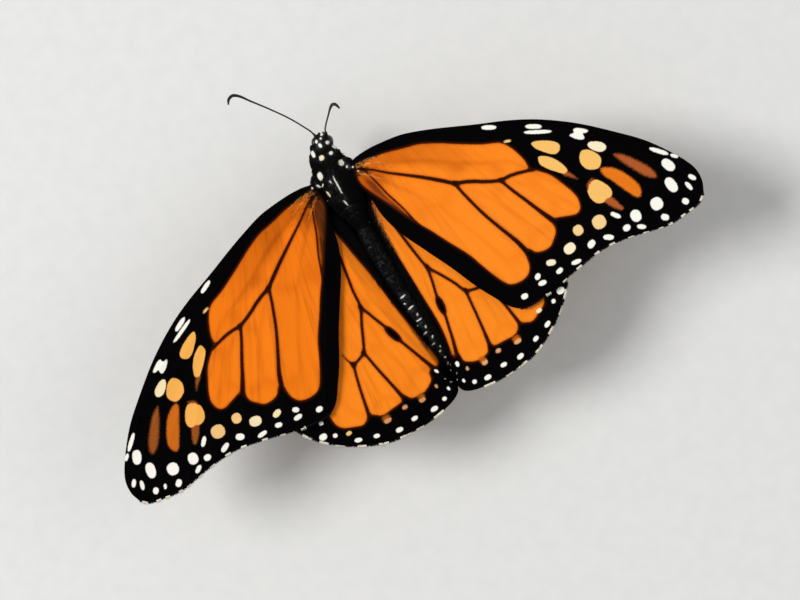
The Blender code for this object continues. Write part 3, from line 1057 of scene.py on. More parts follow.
FORE_GROUND: Knots = (
    (0.5, 0.3), (3, -0.1), (5, -0.4), (8, -1.3), (10, -1.9), (12.5, -3.2), (15, -4.8), (18, -6.6),
    (20.3, -7.7), (21.3, -8.9), (21.9, -10.3), (22.3, -11.8), (22.4, -13.1), (23.5, -14.2),
    (24.6, -15.5), (25.4, -17.2), (26.1, -19), (26.3, -20.3), (25.9, -21.5), (25, -21.9),
    (23.5, -21.4), (22.3, -21.0), (21.6, -21.6), (21.2, -22.6), (20.5, -23.3), (19.5, -24),
    (18.3, -24), (17.3, -23.6), (16.7, -22.9), (15.9, -23.6), (15.6, -24.8), (14.8, -25.8),
    (13.4, -26.1), (12, -25.8), (11.2, -25), (10.4, -23.4), (9.6, -21.5), (8.6, -19), (7, -16.2),
    (5.6, -13.6), (4.2, -11.3), (2.7, -8.5), (1.4, -6), (0.4, -4.1), (-0.3, -2.3), (-0.2, -0.6))

FORE_VEINS = (
    Vein(((-0.6, -0.2), (0.5, -0.5), (2, -1.4), (4, -3.1), (6.4, -4.9), (8.6, -6.6), (10.5, -8.2),
          (11.8, -9.3), (14, -10.3), (16, -11.5), (17.8, -12.3), (20, -12.6), (22.6, -13.4)),
         (0.22, 0.28, 0.44, 0.56, 0.52, 0.48, 0.44)),
    Vein(((11.8, -9.4), (12.5, -12.2), (13.4, -15.2), (14.6, -18.3), (15.7, -21), (16.3, -23.2)),
         (0.40, 0.42, 0.44, 0.52, 0.8)),
    Vein(((17.9, -12.5), (18.7, -14.5), (19.8, -16.9), (20.8, -19.2), (21.8, -21.3)),
         (0.40, 0.44, 0.52, 0.8)),
    Vein(((0.4, -0.2), (1.0, -0.9), (1.8, -3.4), (2.4, -5.6), (3.3, -8.1), (3.75, -9.6), (4.05, -10.9),
          (4.2, -12.0)), (0.20, 0.22, 0.24, 0.26, 0.22, 0.14)),
)
FORE_RIBS: tuple[Knots, ...] = (
    ((0, 0.8), (5, 0.6), (10, -0.9), (15, -3.1), (20, -5.6), (25, -7.9)),
    ((0, 0.4), (6, 0.1), (12, -2.3), (18, -5.6), (21.5, -7.6), (25.5, -9.3), (31, -12.6), (36, -16.6),
     (40, -21.5)),
    ((21.5, -7.8), (22.4, -10.5), (22.6, -13.2)),
    ((22, -9.0), (27.5, -12.8), (33, -17.2), (38.5, -22.6), (41.6, -27.2)),
    ((22.3, -10.7), (27, -15), (32, -20.2), (36, -24.6), (38.6, -28.6)),
    ((22.6, -12), (26, -16.5), (29, -21), (32, -25), (34, -29)),
    ((22.6, -13.4), (24.6, -17), (26.6, -21.2), (28.3, -24.8), (28.9, -27.6)),
    ((21.8, -21.3), (22.8, -24), (23.4, -28)),
    ((16.3, -23.2), (17.0, -26), (17.4, -29)),
    ((1, -4), (3.6, -11.5), (7, -18.5), (9.7, -24), (12.2, -29.2)),
)
# Pale bars and patches across the tip, then the two rows of dots along the outer margin.
FORE_MARKS = (
    Spot(21.45, -8.1, 1.3, 0.5, -18, Tone.PEACH, 1.5), Spot(20.05, -5.05, 2.3, 0.75, -29),
    Spot(25.7, -8.2, 2.5, 0.75, -30), Spot(25.9, -9.2, 4.2, 0.62, -28),
    Patch(((29.5, -11.8), (30.25, -11.85), (30.45, -11.4), (31.2, -11.6), (32.3, -12.6), (31.8, -12.85),
           (31.4, -12.7), (31.3, -13.35), (30.7, -13.3), (29.9, -12.6)), Tone.WHITE),
    Patch(((31.1, -14.3), (31.8, -14.15), (33.05, -14.95), (33.4, -15.75), (33, -16.25), (32.1, -16.1),
           (31.25, -15.1)), Tone.CREAM),
    Patch(((24.25, -10.05), (25.1, -10.15), (26.8, -11.1), (27.7, -12.1), (27.5, -12.85), (26.8, -13.2),
           (26, -12.9), (25.1, -11.95), (24.35, -10.9)), Tone.APRICOT),
    Patch(((24.15, -12.3), (24.75, -12.35), (25.85, -13.25), (26.7, -14.65), (27, -15.95),
           (26.45, -16.35), (25.55, -15.55), (24.6, -14.45), (23.9, -13.3)), Tone.APRICOT),
    Streak(((26.5, -16.2), (27.1, -17.0), (27.6, -17.8)), (0.9, 0.7, 0.3), Tone.BROWN, 3.0),
    Patch(((30.05, -14.6), (30.95, -14.95), (31.6, -15.8), (31.95, -16.65), (31.7, -17.4), (31, -17.95),
           (30.15, -17.8), (29.3, -17.15), (29, -16.05), (29.35, -15.1)), Tone.APRICOT),
    Patch(((29.05, -19), (29.95, -19.2), (30.7, -20.25), (31.05, -21.3), (30.75, -22.2), (29.65, -22.5),
           (28.55, -22.3), (27.95, -21.5), (27.85, -20.4), (28.15, -19.7)), Tone.APRICOT),
    Streak(((28.3, -20.4), (28.6, -19.3), (29.4, -18.8)), (0.7, 0.8, 0.5), Tone.BROWN, 3.0),
    Streak(((29.9, -22.3), (30.5, -23.5), (31.0, -24.4)), (1.4, 1.3, 0.8), Tone.BROWN, 2.6),
    Patch(((31.05, -18.05), (32.2, -18.4), (33.5, -19.7), (34.45, -21.55), (34.85, -23.15),
           (34.35, -24.3), (33.55, -24.25), (32.6, -22.6), (31.6, -20.45), (30.9, -19.05)),
          Tone.ORANGE, 2.6),
    Patch(((33.6, -17.2), (34.8, -17.8), (36.1, -19.4), (37.3, -21.3), (37.7, -22.7), (37.2, -23.3),
           (36, -22.3), (34.9, -20.5), (33.9, -18.5)), Tone.BROWN, 3.4),
    Spot(39.45, -20.2, 2.9, 0.72, -47), Spot(41, -21.85, 1.25, 0.6, -45), Spot(39.65, -22.5, 2.2, 1.45, -68),
    Spot(38.65, -25.1, 2.4, 1.5, -82), Spot(35.6, -26.35, 1.85, 1.9), Spot(32.25, -26.35, 1.6, 1.8),
    Spot(29.8, -24.85, 1.65, 0.75, -52), Spot(27.3, -24.5, 2.1, 2.05, 0, Tone.PEACH),
    Spot(24.1, -24, 1.55, 1.6, 0, Tone.PEACH), Spot(21.8, -25.6, 1.9, 1.55, 10, Tone.CREAM),
    Spot(18.5, -26, 1.5, 1.0, -20, Tone.CREAM), Spot(15.85, -26.75, 1.1, 0.85, 30),
    Spot(12.8, -28.2, 1.15, 0.9),
    Spot(41.7, -25.65, 1.3, 0.75, -57), Spot(40.7, -26.45, 1.5, 0.7, -78),
    Spot(39.25, -28.05, 1.1, 0.95, -60), Spot(35.7, -28.55, 1.25, 1.0, -45),
    Spot(32.2, -28.05, 1.4, 0.75, -35), Spot(30.3, -27.15, 1.2, 1.0),
    Spot(27.4, -27, 1.65, 0.85, -30), Spot(24.8, -26.6, 1.4, 1.05, 25), Spot(21.7, -27.7, 1.6, 0.75, -8),
    Spot(19, -27.6, 1.2, 0.8, 10), Spot(16, -27.85, 1.4, 0.8, -8),
)
# Pale threads fanning from the root.
FORE_ROOT_MARKS = (
    Streak(((0.4, 0.3), (2.4, 0.1), (4.6, -0.5)), (0.44, 0.36, 0.14), Tone.APRICOT, 3.4),
    Streak(((0.3, 0.0), (2.2, -0.5), (4.4, -1.6)), (0.40, 0.34, 0.12), Tone.APRICOT, 3.4),
    Streak(((0.2, -0.9), (1.4, -2.0), (3.0, -3.6)), (0.36, 0.30, 0.12), Tone.APRICOT, 3.4),
)


def fore_markings(side: Side) -> Markings:
    """The pattern of one forewing; the left has one dot more at the tip, and each its own root dots."""
    if side is Side.LEFT:
        extra = (Spot(37.7, -28.1, 0.9, 0.55, -70), Spot(0.1, 0.65, 0.42, 0.40),
                 Spot(0.3, -0.3, 0.34, 0.26, 20, Tone.WHITE, 2.0))
    else:
        extra = (Spot(-0.2, 0.3, 0.38, 0.42), Spot(0.23, -0.58, 0.42, 0.36))
    return Markings(FORE_GROUND, FORE_VEINS, FORE_RIBS, FORE_MARKS + FORE_ROOT_MARKS + extra, (3.0, 18.0))


HIND_OUTER: Knots = (
    (0.4, -25.7), (0.8, -26.8), (2.5, -27.6), (4.3, -27.4), (5.1, -26.6), (5.8, -27.0), (7.5, -27.1),
    (9.2, -27.1), (10.3, -26.3), (11.1, -26.3), (12.3, -26.7), (13.6, -26.2), (14.9, -25.5), (15.5, -24.5),
    (15.6, -22.8), (15.8, -20.0), (15.0, -16.0), (13.0, -11.5), (9.8, -7.2), (6.4, -3.8), (3.2, -1.4),
    (1.4, -0.6))
HIND_RIBS: tuple[Knots, ...] = (
    ((0.5, 0.2), (5, -2.2), (10, -6.0), (14, -10.4), (17.5, -15.5), (19.8, -21), (19.4, -25)),
    ((3, -2), (7, -7), (9.6, -12), (12.5, -17.5), (15.8, -23), (17, -27)),
    ((-0.1, -1), (-0.5, -8), (-0.7, -16), (-1.1, -26), (-1.0, -30)),
    ((10.9, -26.3), (11.2, -29), (11.3, -31)),
    ((5.2, -27), (5.0, -29.4), (4.9, -31.6)),
    ((-0.1, -26.7), (-0.3, -29), (-0.2, -31)),
)
HIND_MARKS = (
    Spot(3.3, -28.35, 1.1, 0.85, 0, Tone.TAN, 1.2), Spot(9.0, -28.1, 1.3, 0.85, 0, Tone.TAN, 1.2),
    Spot(3.2, -27.9, 1.3, 1.3, 0, Tone.RUST, 3.5), Spot(9.0, -27.7, 1.5, 1.2, 0, Tone.RUST, 3.5),
    Spot(0.6, -27.85, 0.6, 0.75, 0, Tone.TAN, 1.4), Spot(5.9, -27.9, 1.0, 0.75, 0, Tone.TAN, 1.6),
    Spot(18.0, -25.0, 1.3, 1.05), Spot(16.4, -25.8, 0.75, 0.75), Spot(14.0, -28.15, 1.2, 0.75, 22),
    Spot(11.5, -29.1, 1.05, 0.72, 18), Spot(8.3, -30.15, 1.2, 0.78, 10), Spot(5.6, -30.0, 1.1, 0.72),
    Spot(2.6, -30.4, 1.2, 0.8), Spot(0.6, -30.0, 0.78, 0.7), Spot(-0.7, -29.1, 0.5, 0.7),
    Spot(-1.05, -27.7, 0.42, 0.20, 60), Spot(-1.5, -28.5, 0.38, 0.20, 30), Spot(18.9, -22.2, 1.0, 0.8),
    Spot(17.2, -23.2, 0.8, 0.7),
)


def hind_markings(side: Side) -> Markings:
    """The pattern of one hindwing; the two differ along the inner margin, as on the real butterfly."""
    if side is Side.RIGHT:
        inner = ((0.5, -0.2), (-0.1, -0.6), (-0.6, -3.1), (-0.5, -7.3), (-0.2, -11.5), (0.0, -15.6),
                 (0.2, -19.8), (0.05, -22.6), (-0.35, -25.0), (-0.1, -25.5))
        stem = ((0.9, 0.2), (1.1, -2.5), (1.35, -5.0), (1.7, -7.6), (2.1, -10.1), (2.6, -12.4), (3.9, -14.5),
                (5.1, -16.5), (5.95, -18.2), (7.4, -18.7), (8.8, -18.9))
        outer = ((8.8, -18.9), (9.5, -20.9), (10.05, -23.1), (10.6, -26.5), (10.8, -27.2))
        middle = ((5.95, -18.2), (5.75, -21.2), (5.5, -24.0), (5.2, -26.7), (5.15, -27.5))
        last = ((2.6, -12.4), (2.3, -14.5), (1.8, -16.8), (1.65, -18.1), (1.55, -19.7), (1.2, -21.4),
                (0.85, -23.1), (0.35, -25.1), (0.1, -26.6))
        blot = Spot(1.68, -18.2, 2.7, 1.15, 86)
        extra = (Spot(-0.35, -26.6, 0.68, 0.92), Spot(-1.35, -26.2, 0.40, 0.20, 45),
                 Spot(13.9, -25.9, 1.0, 0.7, 0, Tone.CREAM),
                 Spot(14.8, -24.4, 0.9, 0.4, -30, Tone.PEACH, 1.5))
    else:
        inner = ((1.2, -0.6), (0.9, -1.7), (0.33, -5.9), (-0.2, -10.0), (-0.5, -14.2), (-0.9, -18.4),
                 (-1.2, -22.0), (-1.45, -24.8), (-0.9, -25.6), (-0.2, -25.4))
        stem = ((1.3, 0.2), (1.7, -1.5), (2.1, -4.5), (2.7, -7.3), (3.25, -10.1), (3.55, -12.4),
                (4.8, -14.8), (5.9, -17.0), (6.6, -18.1), (7.7, -18.6), (8.8, -18.8))
        outer = ((8.8, -18.8), (9.4, -20.6), (10.05, -22.9), (10.6, -25.1), (10.9, -26.3), (11.0, -27.1))
        middle = ((6.6, -18.1), (6.3, -20.6), (5.9, -23.1), (5.5, -25.6), (5.3, -27.0), (5.2, -27.7))
        last = ((3.55, -12.4), (2.85, -14.6), (2.15, -16.7), (1.8, -18.2), (1.31, -19.85), (0.56, -22.2),
                (-0.1, -24.3), (-0.46, -25.4), (-0.6, -26.4))
        blot = Spot(1.75, -18.25, 3.0, 1.15, 75)
        extra = (Spot(-0.6, -26.1, 0.85, 0.5, 70), Spot(14.6, -26.6, 0.95, 0.7, 0, Tone.PEACH))
    veins = (Vein(stem, (0.30, 0.38, 0.38, 0.40, 0.40)),
             Vein((stem[-1], (9.2, -17.8), (9.35, -16.7)), (0.28, 0.2, 0.08)),
             Vein(outer, (0.36, 0.38, 0.42, 0.65)), Vein(middle, (0.36, 0.38, 0.42, 0.7)),
             Vein(last, (0.36, 0.38, 0.38, 0.42, 0.7)))
    return Markings(inner + HIND_OUTER, veins, HIND_RIBS, HIND_MARKS + extra, (4.0, 9.0), (blot,))


# Middle and length of each white dash of the fringe.
FORE_DASHES = ((16, -29.6, 0.8), (19, -29.0, 0.8), (21.7, -28.6, 0.9), (24.9, -28.1, 0.8),
               (27.4, -28.1, 0.9), (30.2, -28.5, 0.8), (32.4, -28.9, 0.8), (34.5, -29.4, 0.7),
               (35.9, -29.6, 0.7), (38, -29.6, 0.7), (39.4, -29.4, 0.7), (41.4, -28.8, 0.8))
HIND_DASHES = ((20.0, -23.8, 1.6), (18.4, -25.8, 1.4), (16.6, -27.3, 1.4), (14, -29.1, 1.3),
               (11.2, -30.5, 1.5), (8, -31.25, 1.7), (5.7, -31.5, 1.2), (2.4, -31.4, 1.8),
               (0.6, -31.15, 0.8))


def fore_dusk(p: np.ndarray, start: float = 0.15, growth: float = 0.06) -> np.ndarray:
    """Deeper orange by the leading edge, by the root, and in the strip behind the hindmost vein.

    Args:
        p: Points in the wing's plan.
        start: Depth of the strip at the root.
        growth: How much deeper it gets with each millimetre outwards.

    Returns:
        How much darker the ground is at each point.
    """
    cell = soft_step(0.5, 3.0, p[:, 1] + 0.75 * p[:, 0]) * (1.0 - 0.7 * soft_step(12.0, 20.0, p[:, 0]))
    nook = np.exp(-((p[:, 0] - 2.5) ** 2 + (p[:, 1] + 2.9) ** 2) / 1.6 ** 2)
    vein_u = np.interp(p[:, 1], (-11.0, -8.1, -5.6, -3.4, -0.9), (4.2, 3.3, 2.4, 1.8, 1.0))
    strip = soft_step(0.10, -0.60, p[:, 0] - vein_u)
    return 0.26 * cell + 0.30 * nook + (start - growth * p[:, 1]) * strip


def fore_dusk_left_shaded(p: np.ndarray) -> np.ndarray:
    """The left forewing's deepening, its strip deeper from the root on; the extra depth is painted shade."""
    return fore_dusk(p, 0.40, 0.03)


def hind_fold_shade(p: np.ndarray) -> np.ndarray:
    """Painted shade: duller orange along the inner margin, which folds down and is turned from the light."""
    return 0.26 * soft_step(2.0, 0.2, p[:, 0])


def fore_reach(rng: np.random.Generator, count: int) -> tuple[np.ndarray, np.ndarray]:
    """Roots and lie of the hair at a forewing's root."""
    out = rng.exponential(1.1, count) - 0.9
    p = columns(out, rng.uniform(-1.2, 1.3, count) - 0.35 * np.maximum(out, 0))
    return p, columns(0.85, -0.35 + rng.normal(0, 0.25, count))


def hind_reach(rng: np.random.Generator, count: int, shift: float = 0.0) -> tuple[np.ndarray, np.ndarray]:
    """Roots and lie of the hair along a hindwing's inner margin, shifted outwards towards the tail."""
    down = rng.uniform(-24.0 + 3.0 * shift, 0.2, count)
    p = columns(-0.75 - shift * soft_step(-8.0, -18.0, down) + rng.normal(0, 0.20, count)
                + 0.9 * np.exp((down + 1) / 2.0) * rng.random(count), down)
    return p, columns(rng.normal(-0.15, 0.30, count), -0.9)


# --- body ----------------------------------------------------------------------------------------------


@dataclass
class Body:
    """Head, thorax and abdomen under one skin, with the coat over it."""

    skin_stations: Knots = (
        (1.06, 7.20, -2.62, 0.0, 0.0), (1.04, 7.15, -2.62, 0.46, 0.42), (0.95, 6.93, -2.60, 0.84, 0.78),
        (0.75, 6.50, -2.56, 1.10, 1.02), (0.53, 5.98, -2.52, 1.20, 1.12), (0.42, 5.58, -2.47, 1.48, 1.10),
        (0.22, 5.24, -2.43, 1.84, 1.12), (0.06, 4.70, -2.36, 2.04, 1.20), (-0.08, 4.25, -2.28, 2.18, 1.36),
        (-0.18, 3.70, -2.18, 2.30, 1.56), (-0.24, 3.00, -2.05, 2.40, 1.86), (-0.16, 2.10, -1.85, 2.58, 2.18),
        (-0.03, 1.00, -1.60, 2.58, 2.58), (0.02, 0.0, -1.42, 2.60, 2.82), (0.07, -1.2, -1.27, 2.60, 3.00),
        (0.06, -3.2, -1.17, 2.44, 2.90), (0.02, -5.2, -1.12, 1.84, 2.30), (0.0, -6.4, -1.08, 1.32, 1.66),
        (0.0, -7.45, -1.12, 0.98, 1.12), (0.0, -8.3, -1.20, 1.16, 1.22), (0.0, -10.0, -1.35, 1.46, 1.54),
        (0.0, -12.0, -1.72, 1.65, 1.70), (0.04, -14.0, -1.95, 1.75, 1.80), (0.07, -16.0, -2.08, 1.78, 1.85),
        (0.15, -18.0, -2.18, 1.77, 1.85), (0.32, -20.0, -2.28, 1.73, 1.80), (0.47, -22.0, -2.36, 1.65, 1.73),
        (0.60, -24.0, -2.45, 1.53, 1.60), (0.70, -26.0, -2.56, 1.38, 1.46), (0.77, -28.0, -2.72, 1.22, 1.28),
        (0.83, -30.0, -2.95, 1.04, 1.08), (0.90, -31.6, -3.20, 0.80, 0.82), (0.94, -32.4, -3.35, 0.48, 0.46),
        (0.96, -32.75, -3.43, 0.0, 0.0))
    lobe: Knots = ((2.05, 2.35, -0.95, 0.0, 0.0), (2.08, 2.28, -0.92, 0.30, 0.20),
                   (2.28, 1.85, -0.72, 0.66, 0.40), (2.58, 1.20, -0.48, 0.86, 0.52),
                   (2.84, 0.40, -0.30, 0.84, 0.50), (2.98, -0.35, -0.25, 0.58, 0.36),
                   (3.02, -0.80, -0.25, 0.26, 0.18), (3.02, -0.90, -0.25, 0.0, 0.0))
    segments: tuple[float, ...] = (-7.9, -10.4, -13.0, -15.7, -18.4, -21.0, -23.6, -26.1, -28.5, -30.6)
    dots: tuple[Spot, ...] = (
        Spot(1.14, 6.96, 0.38, 0.46, 0), Spot(0.80, 6.44, 0.28, 0.28, 0, Tone.WHITE, 1.5),
        Spot(0.0, 6.38, 0.42, 0.52, 0), Spot(0.26, 5.59, 0.44, 0.68, 10), Spot(1.36, 5.50, 0.50, 0.48, 0),
        Spot(1.86, 4.52, 0.36, 0.76, 20), Spot(-1.26, 5.02, 0.56, 1.10, 5),
        Spot(-0.28, 3.83, 0.74, 0.80, 0, Tone.CREAM), Spot(1.17, 3.82, 0.52, 0.54, 0, Tone.WHITE, 1.4),
        Spot(1.98, 1.75, 0.98, 0.62, -84), Spot(2.45, 0.80, 0.36, 0.22, 50, Tone.WHITE, 1.6),
        Spot(-1.56, 1.57, 0.90, 1.20, 0), Spot(-2.53, 0.46, 0.72, 0.24, -58),
        Spot(-1.93, 0.24, 0.70, 0.26, 22), Spot(-2.45, -0.38, 0.46, 0.42, 0),
        Spot(-1.67, -1.27, 0.34, 1.10, 12, Tone.CREAM, 1.6),
        Spot(-0.47, 0.00, 0.16, 0.50, 0, Tone.WHITE, 1.5),
        Spot(0.25, -0.86, 0.22, 2.90, 0), Spot(0.03, -3.74, 0.18, 0.95, 6, Tone.WHITE, 1.3))
    # Pale dashes on the abdomen's back: partly pale scale rows at the segment ends, partly painted
    # highlights.
    dashes: tuple[tuple[float, float, float, float], ...] = (
        (0.22, -19.3, 0.85, 12), (0.43, -21.2, 0.90, 10), (0.55, -23.3, 0.90, 4),
        (0.26, -25.4, 0.85, 14), (0.44, -27.3, 0.80, 8), (0.76, -22.5, 0.40, 60),
        (0.90, -24.6, 0.42, 70), (0.99, -26.3, 0.44, 55), (-0.08, -20.3, 0.28, -30),
        (0.87, -28.6, 0.40, 20), (1.06, -29.7, 0.40, -10), (0.92, -30.6, 0.40, 30),
        (1.25, -28.0, 0.34, 80), (-0.12, -23.9, 0.26, 20), (1.35, -30.9, 0.34, 40),
        (0.72, -31.7, 0.34, 10))

    def swell(self, t: np.ndarray, turn: np.ndarray) -> np.ndarray:
        """Relief of the skin: grooves between segments, plates of the thorax, folds along the sides."""
        y = curve([(s[0], s[1], s[2]) for s in self.skin_stations], t)[:, 1]
        factor = np.ones(len(t))
        for seam in self.segments:
            factor -= 0.045 * bell(y, seam, 0.22)
            factor += 0.022 * bell(y, seam - 0.9, 0.6)
        side, top = np.abs(np.cos(turn)), np.sin(turn)
        back = soft_step(-0.2, 0.5, top)
        # Collar, shoulders, the furrow along the back, plates behind it and the fold along each side.
        factor -= 0.03 * bell(y, 3.15, 0.22) + 0.03 * bell(y, 5.05, 0.16)
        factor += 0.05 * bell(y, 1.6, 0.9) * bell(side, 0.75, 0.25) * (top > 0)
        factor -= 0.035 * bell(turn, math.pi / 2, 0.10) * soft_step(2.4, 1.6, y) * soft_step(-6.4, -4.8, y)
        factor -= 0.05 * bell(y, -4.35, 0.25) * back + 0.06 * bell(y, -5.6, 0.22) * back
        factor -= 0.035 * bell(top, -0.35, 0.12) * soft_step(-7.6, -9.5, y)
        return factor

    def pale(self, p: np.ndarray, up: np.ndarray) -> tuple[np.ndarray, np.ndarray, np.ndarray]:
        """Share and tone of the pale markings at points of the body, and the way to the nearest dot.

        Args:
            p: points, mm.
            up: upward part of the surface normal there.

        Returns:
            Share from 0 to 1, tone, and mm outside the nearest dot.
        """
        share = np.zeros(len(p))
        tone = np.zeros(len(p))
        away = np.full(len(p), 9.0)
        above = up > -0.15
        for dot in self.dots:
            reach = dot.reach(p[:, :2])
            inside = soft_step(-0.05, 0.05, reach) * above
            tone = np.where(inside > share, dot.tone.value, tone)
            share = np.maximum(share, inside)
            away = np.minimum(away, -reach)
        # The abdomen's dashes: pale scale rows with painted highlights along the segment ends.
        for x, y, long, turn in self.dashes:
            bar = Spot(x, y, long, 0.19, turn).reach(p[:, :2])
            share = np.maximum(share, soft_step(-0.05, 0.05, bar) * above)
            away = np.minimum(away, -bar)
        for seam in self.segments[1:]:
            for way in (-1.0, 1.0):
                flank = Spot(seam - 0.5, -2.75 + 0.03 * (seam + 10.0), 0.7, 0.45).reach(p[:, 1:3])
                share = np.maximum(share, 0.9 * soft_step(-0.05, 0.05, flank) * (way * p[:, 0] > 0.3))
        for y in (2.2, -0.2, -2.6):
            for z in (-2.5, -3.5):
                flank = Spot(y, z, 0.8, 0.6, 20).reach(p[:, 1:3])
                share = np.maximum(share, soft_step(-0.05, 0.05, flank) * (np.abs(p[:, 0]) > 0.8)
                                   * (up < 0.35))
        return share, tone, np.maximum(away, 0.0)

    def build(self, datum: Datum, hair: bpy.types.Material, rng: np.random.Generator) -> None:
        """Model the skin and lay the coat over it."""
        mesh = tube(self.skin_stations, 96, 420, self.swell)
        share, tone, _ = self.pale(read_points(mesh), read_rows(mesh.vertex_normals)[:, 2])
        paint(mesh, "mark", columns(share, tone, 0.0))
        for name, per_mm2, span, length, width in (("thorax", 100.0, (-7.6, 3.4), (0.42, 0.85), 0.11),
                                                   ("collar", 190.0, (3.4, 5.3), (0.30, 0.52), 0.08),
                                                   ("head", 230.0, (5.3, 7.3), (0.20, 0.36), 0.06),
                                                   ("abdomen", 66.0, (-33.0, -7.6), (0.28, 0.50), 0.12)):
            self.coat(name + "_coat", mesh, datum, hair, rng, per_mm2, span, length, width)
        self.unwrap(mesh)
        settle("body_skin", mesh, datum, [Cuticle("body_cuticle").build()],
               ["head", "thorax", "abdomen"])
        self.shoulders(datum, hair, rng)

    def shoulders(self, datum: Datum, hair: bpy.types.Material, rng: np.random.Generator) -> None:
        """Lobes that cover the forewings' roots, with dots of their own."""
        for side in Side:
            rows = [(side.way * x, y, z, w, h) for x, y, z, w, h in self.lobe]
            mesh = tube(rows, 32, 60)
            co = read_points(mesh)
            share, tone, _ = self.pale(co, np.ones(len(co)))
            paint(mesh, "mark", columns(share, tone, 0.0))
            name = "shoulder_" + side.value
            self.coat(name + "_coat", mesh, datum, hair, rng, 130.0, (-3.0, 3.4), (0.30, 0.60), 0.09)
            self.unwrap(mesh)
            settle(name + "_lobe", mesh, datum, [Cuticle(name + "_cuticle").build()])

    def unwrap(self, mesh: bpy.types.Mesh) -> None:
        """Lay the skin out by place along and round it, opened along its seam."""
        uv = read_rows(mesh.attributes["place"].data)[read_corners(mesh), :2].astype(float)
        sides = read_counts(mesh.polygons, "loop_total")
        face = np.repeat(np.arange(len(sides)), sides)
        high = np.zeros(len(sides))
        np.maximum.at(high, face, uv[:, 1])
        uv[:, 1] += (high[face] > 0.75) & (uv[:, 1] < 0.25)
        map_corners(mesh, uv * 0.98 + 0.01)

    def coat(self, name: str, mesh: bpy.types.Mesh, datum: Datum, hair: bpy.types.Material,
             rng: np.random.Generator, per_mm2: float, span: tuple[float, float],
             length: tuple[float, float], width: float) -> None:
        """Lay one stretch of coat over the skin, pointing back.

        Args:
            name: the piece's name.
            mesh: the skin.
            datum: where the wing roots are.
            hair: the finish.
            rng: the random source.
            per_mm2: locks for each square millimetre.
            span: lowest and highest y.
            length: shortest and longest lock.
            width: width of a lock.
        """
        root, normal, place = scatter(mesh, per_mm2, rng,
                                      lambda p: ((p[:, 1] > span[0]) & (p[:, 1] <= span[1])).astype(float))
        count = len(root)
        share, tone, away = self.pale(root, normal[:, 2])
        lie = np.tile((0.0, -1.0, -0.05), (count, 1)) + rng.normal(0, 0.22, (count, 3))
        lie[:, 0] += np.sign(root[:, 0]) * 0.15
        # Hair beside a dot is cropped, so that it doesn't lie over the dot.
        short = 0.32 + 0.68 * soft_step(0.0, 0.8, away)
        size = rng.uniform(*length, count) * short
        lift = rng.uniform(0.10, 0.42, count) * np.where(share > 0.4, 0.6, 1.0)
        if name == "head_coat":
            lie = columns(0.3 * np.sign(root[:, 0] - 0.5), -0.6, 0.2) + rng.normal(0, 0.3, (count, 3))
            lift = rng.uniform(0.3, 0.9, count) * (0.35 + 0.65 * soft_step(0.0, 0.5, away))
        glint = share * (share > 0.25) * rng.uniform(0.85, 1.0, count)
        Coat(root - normal * 0.02, normal, lie, size, np.full(count, width), lift, columns(glint, tone, 0.0),
             place[:, :2]).lay(name, datum, hair)


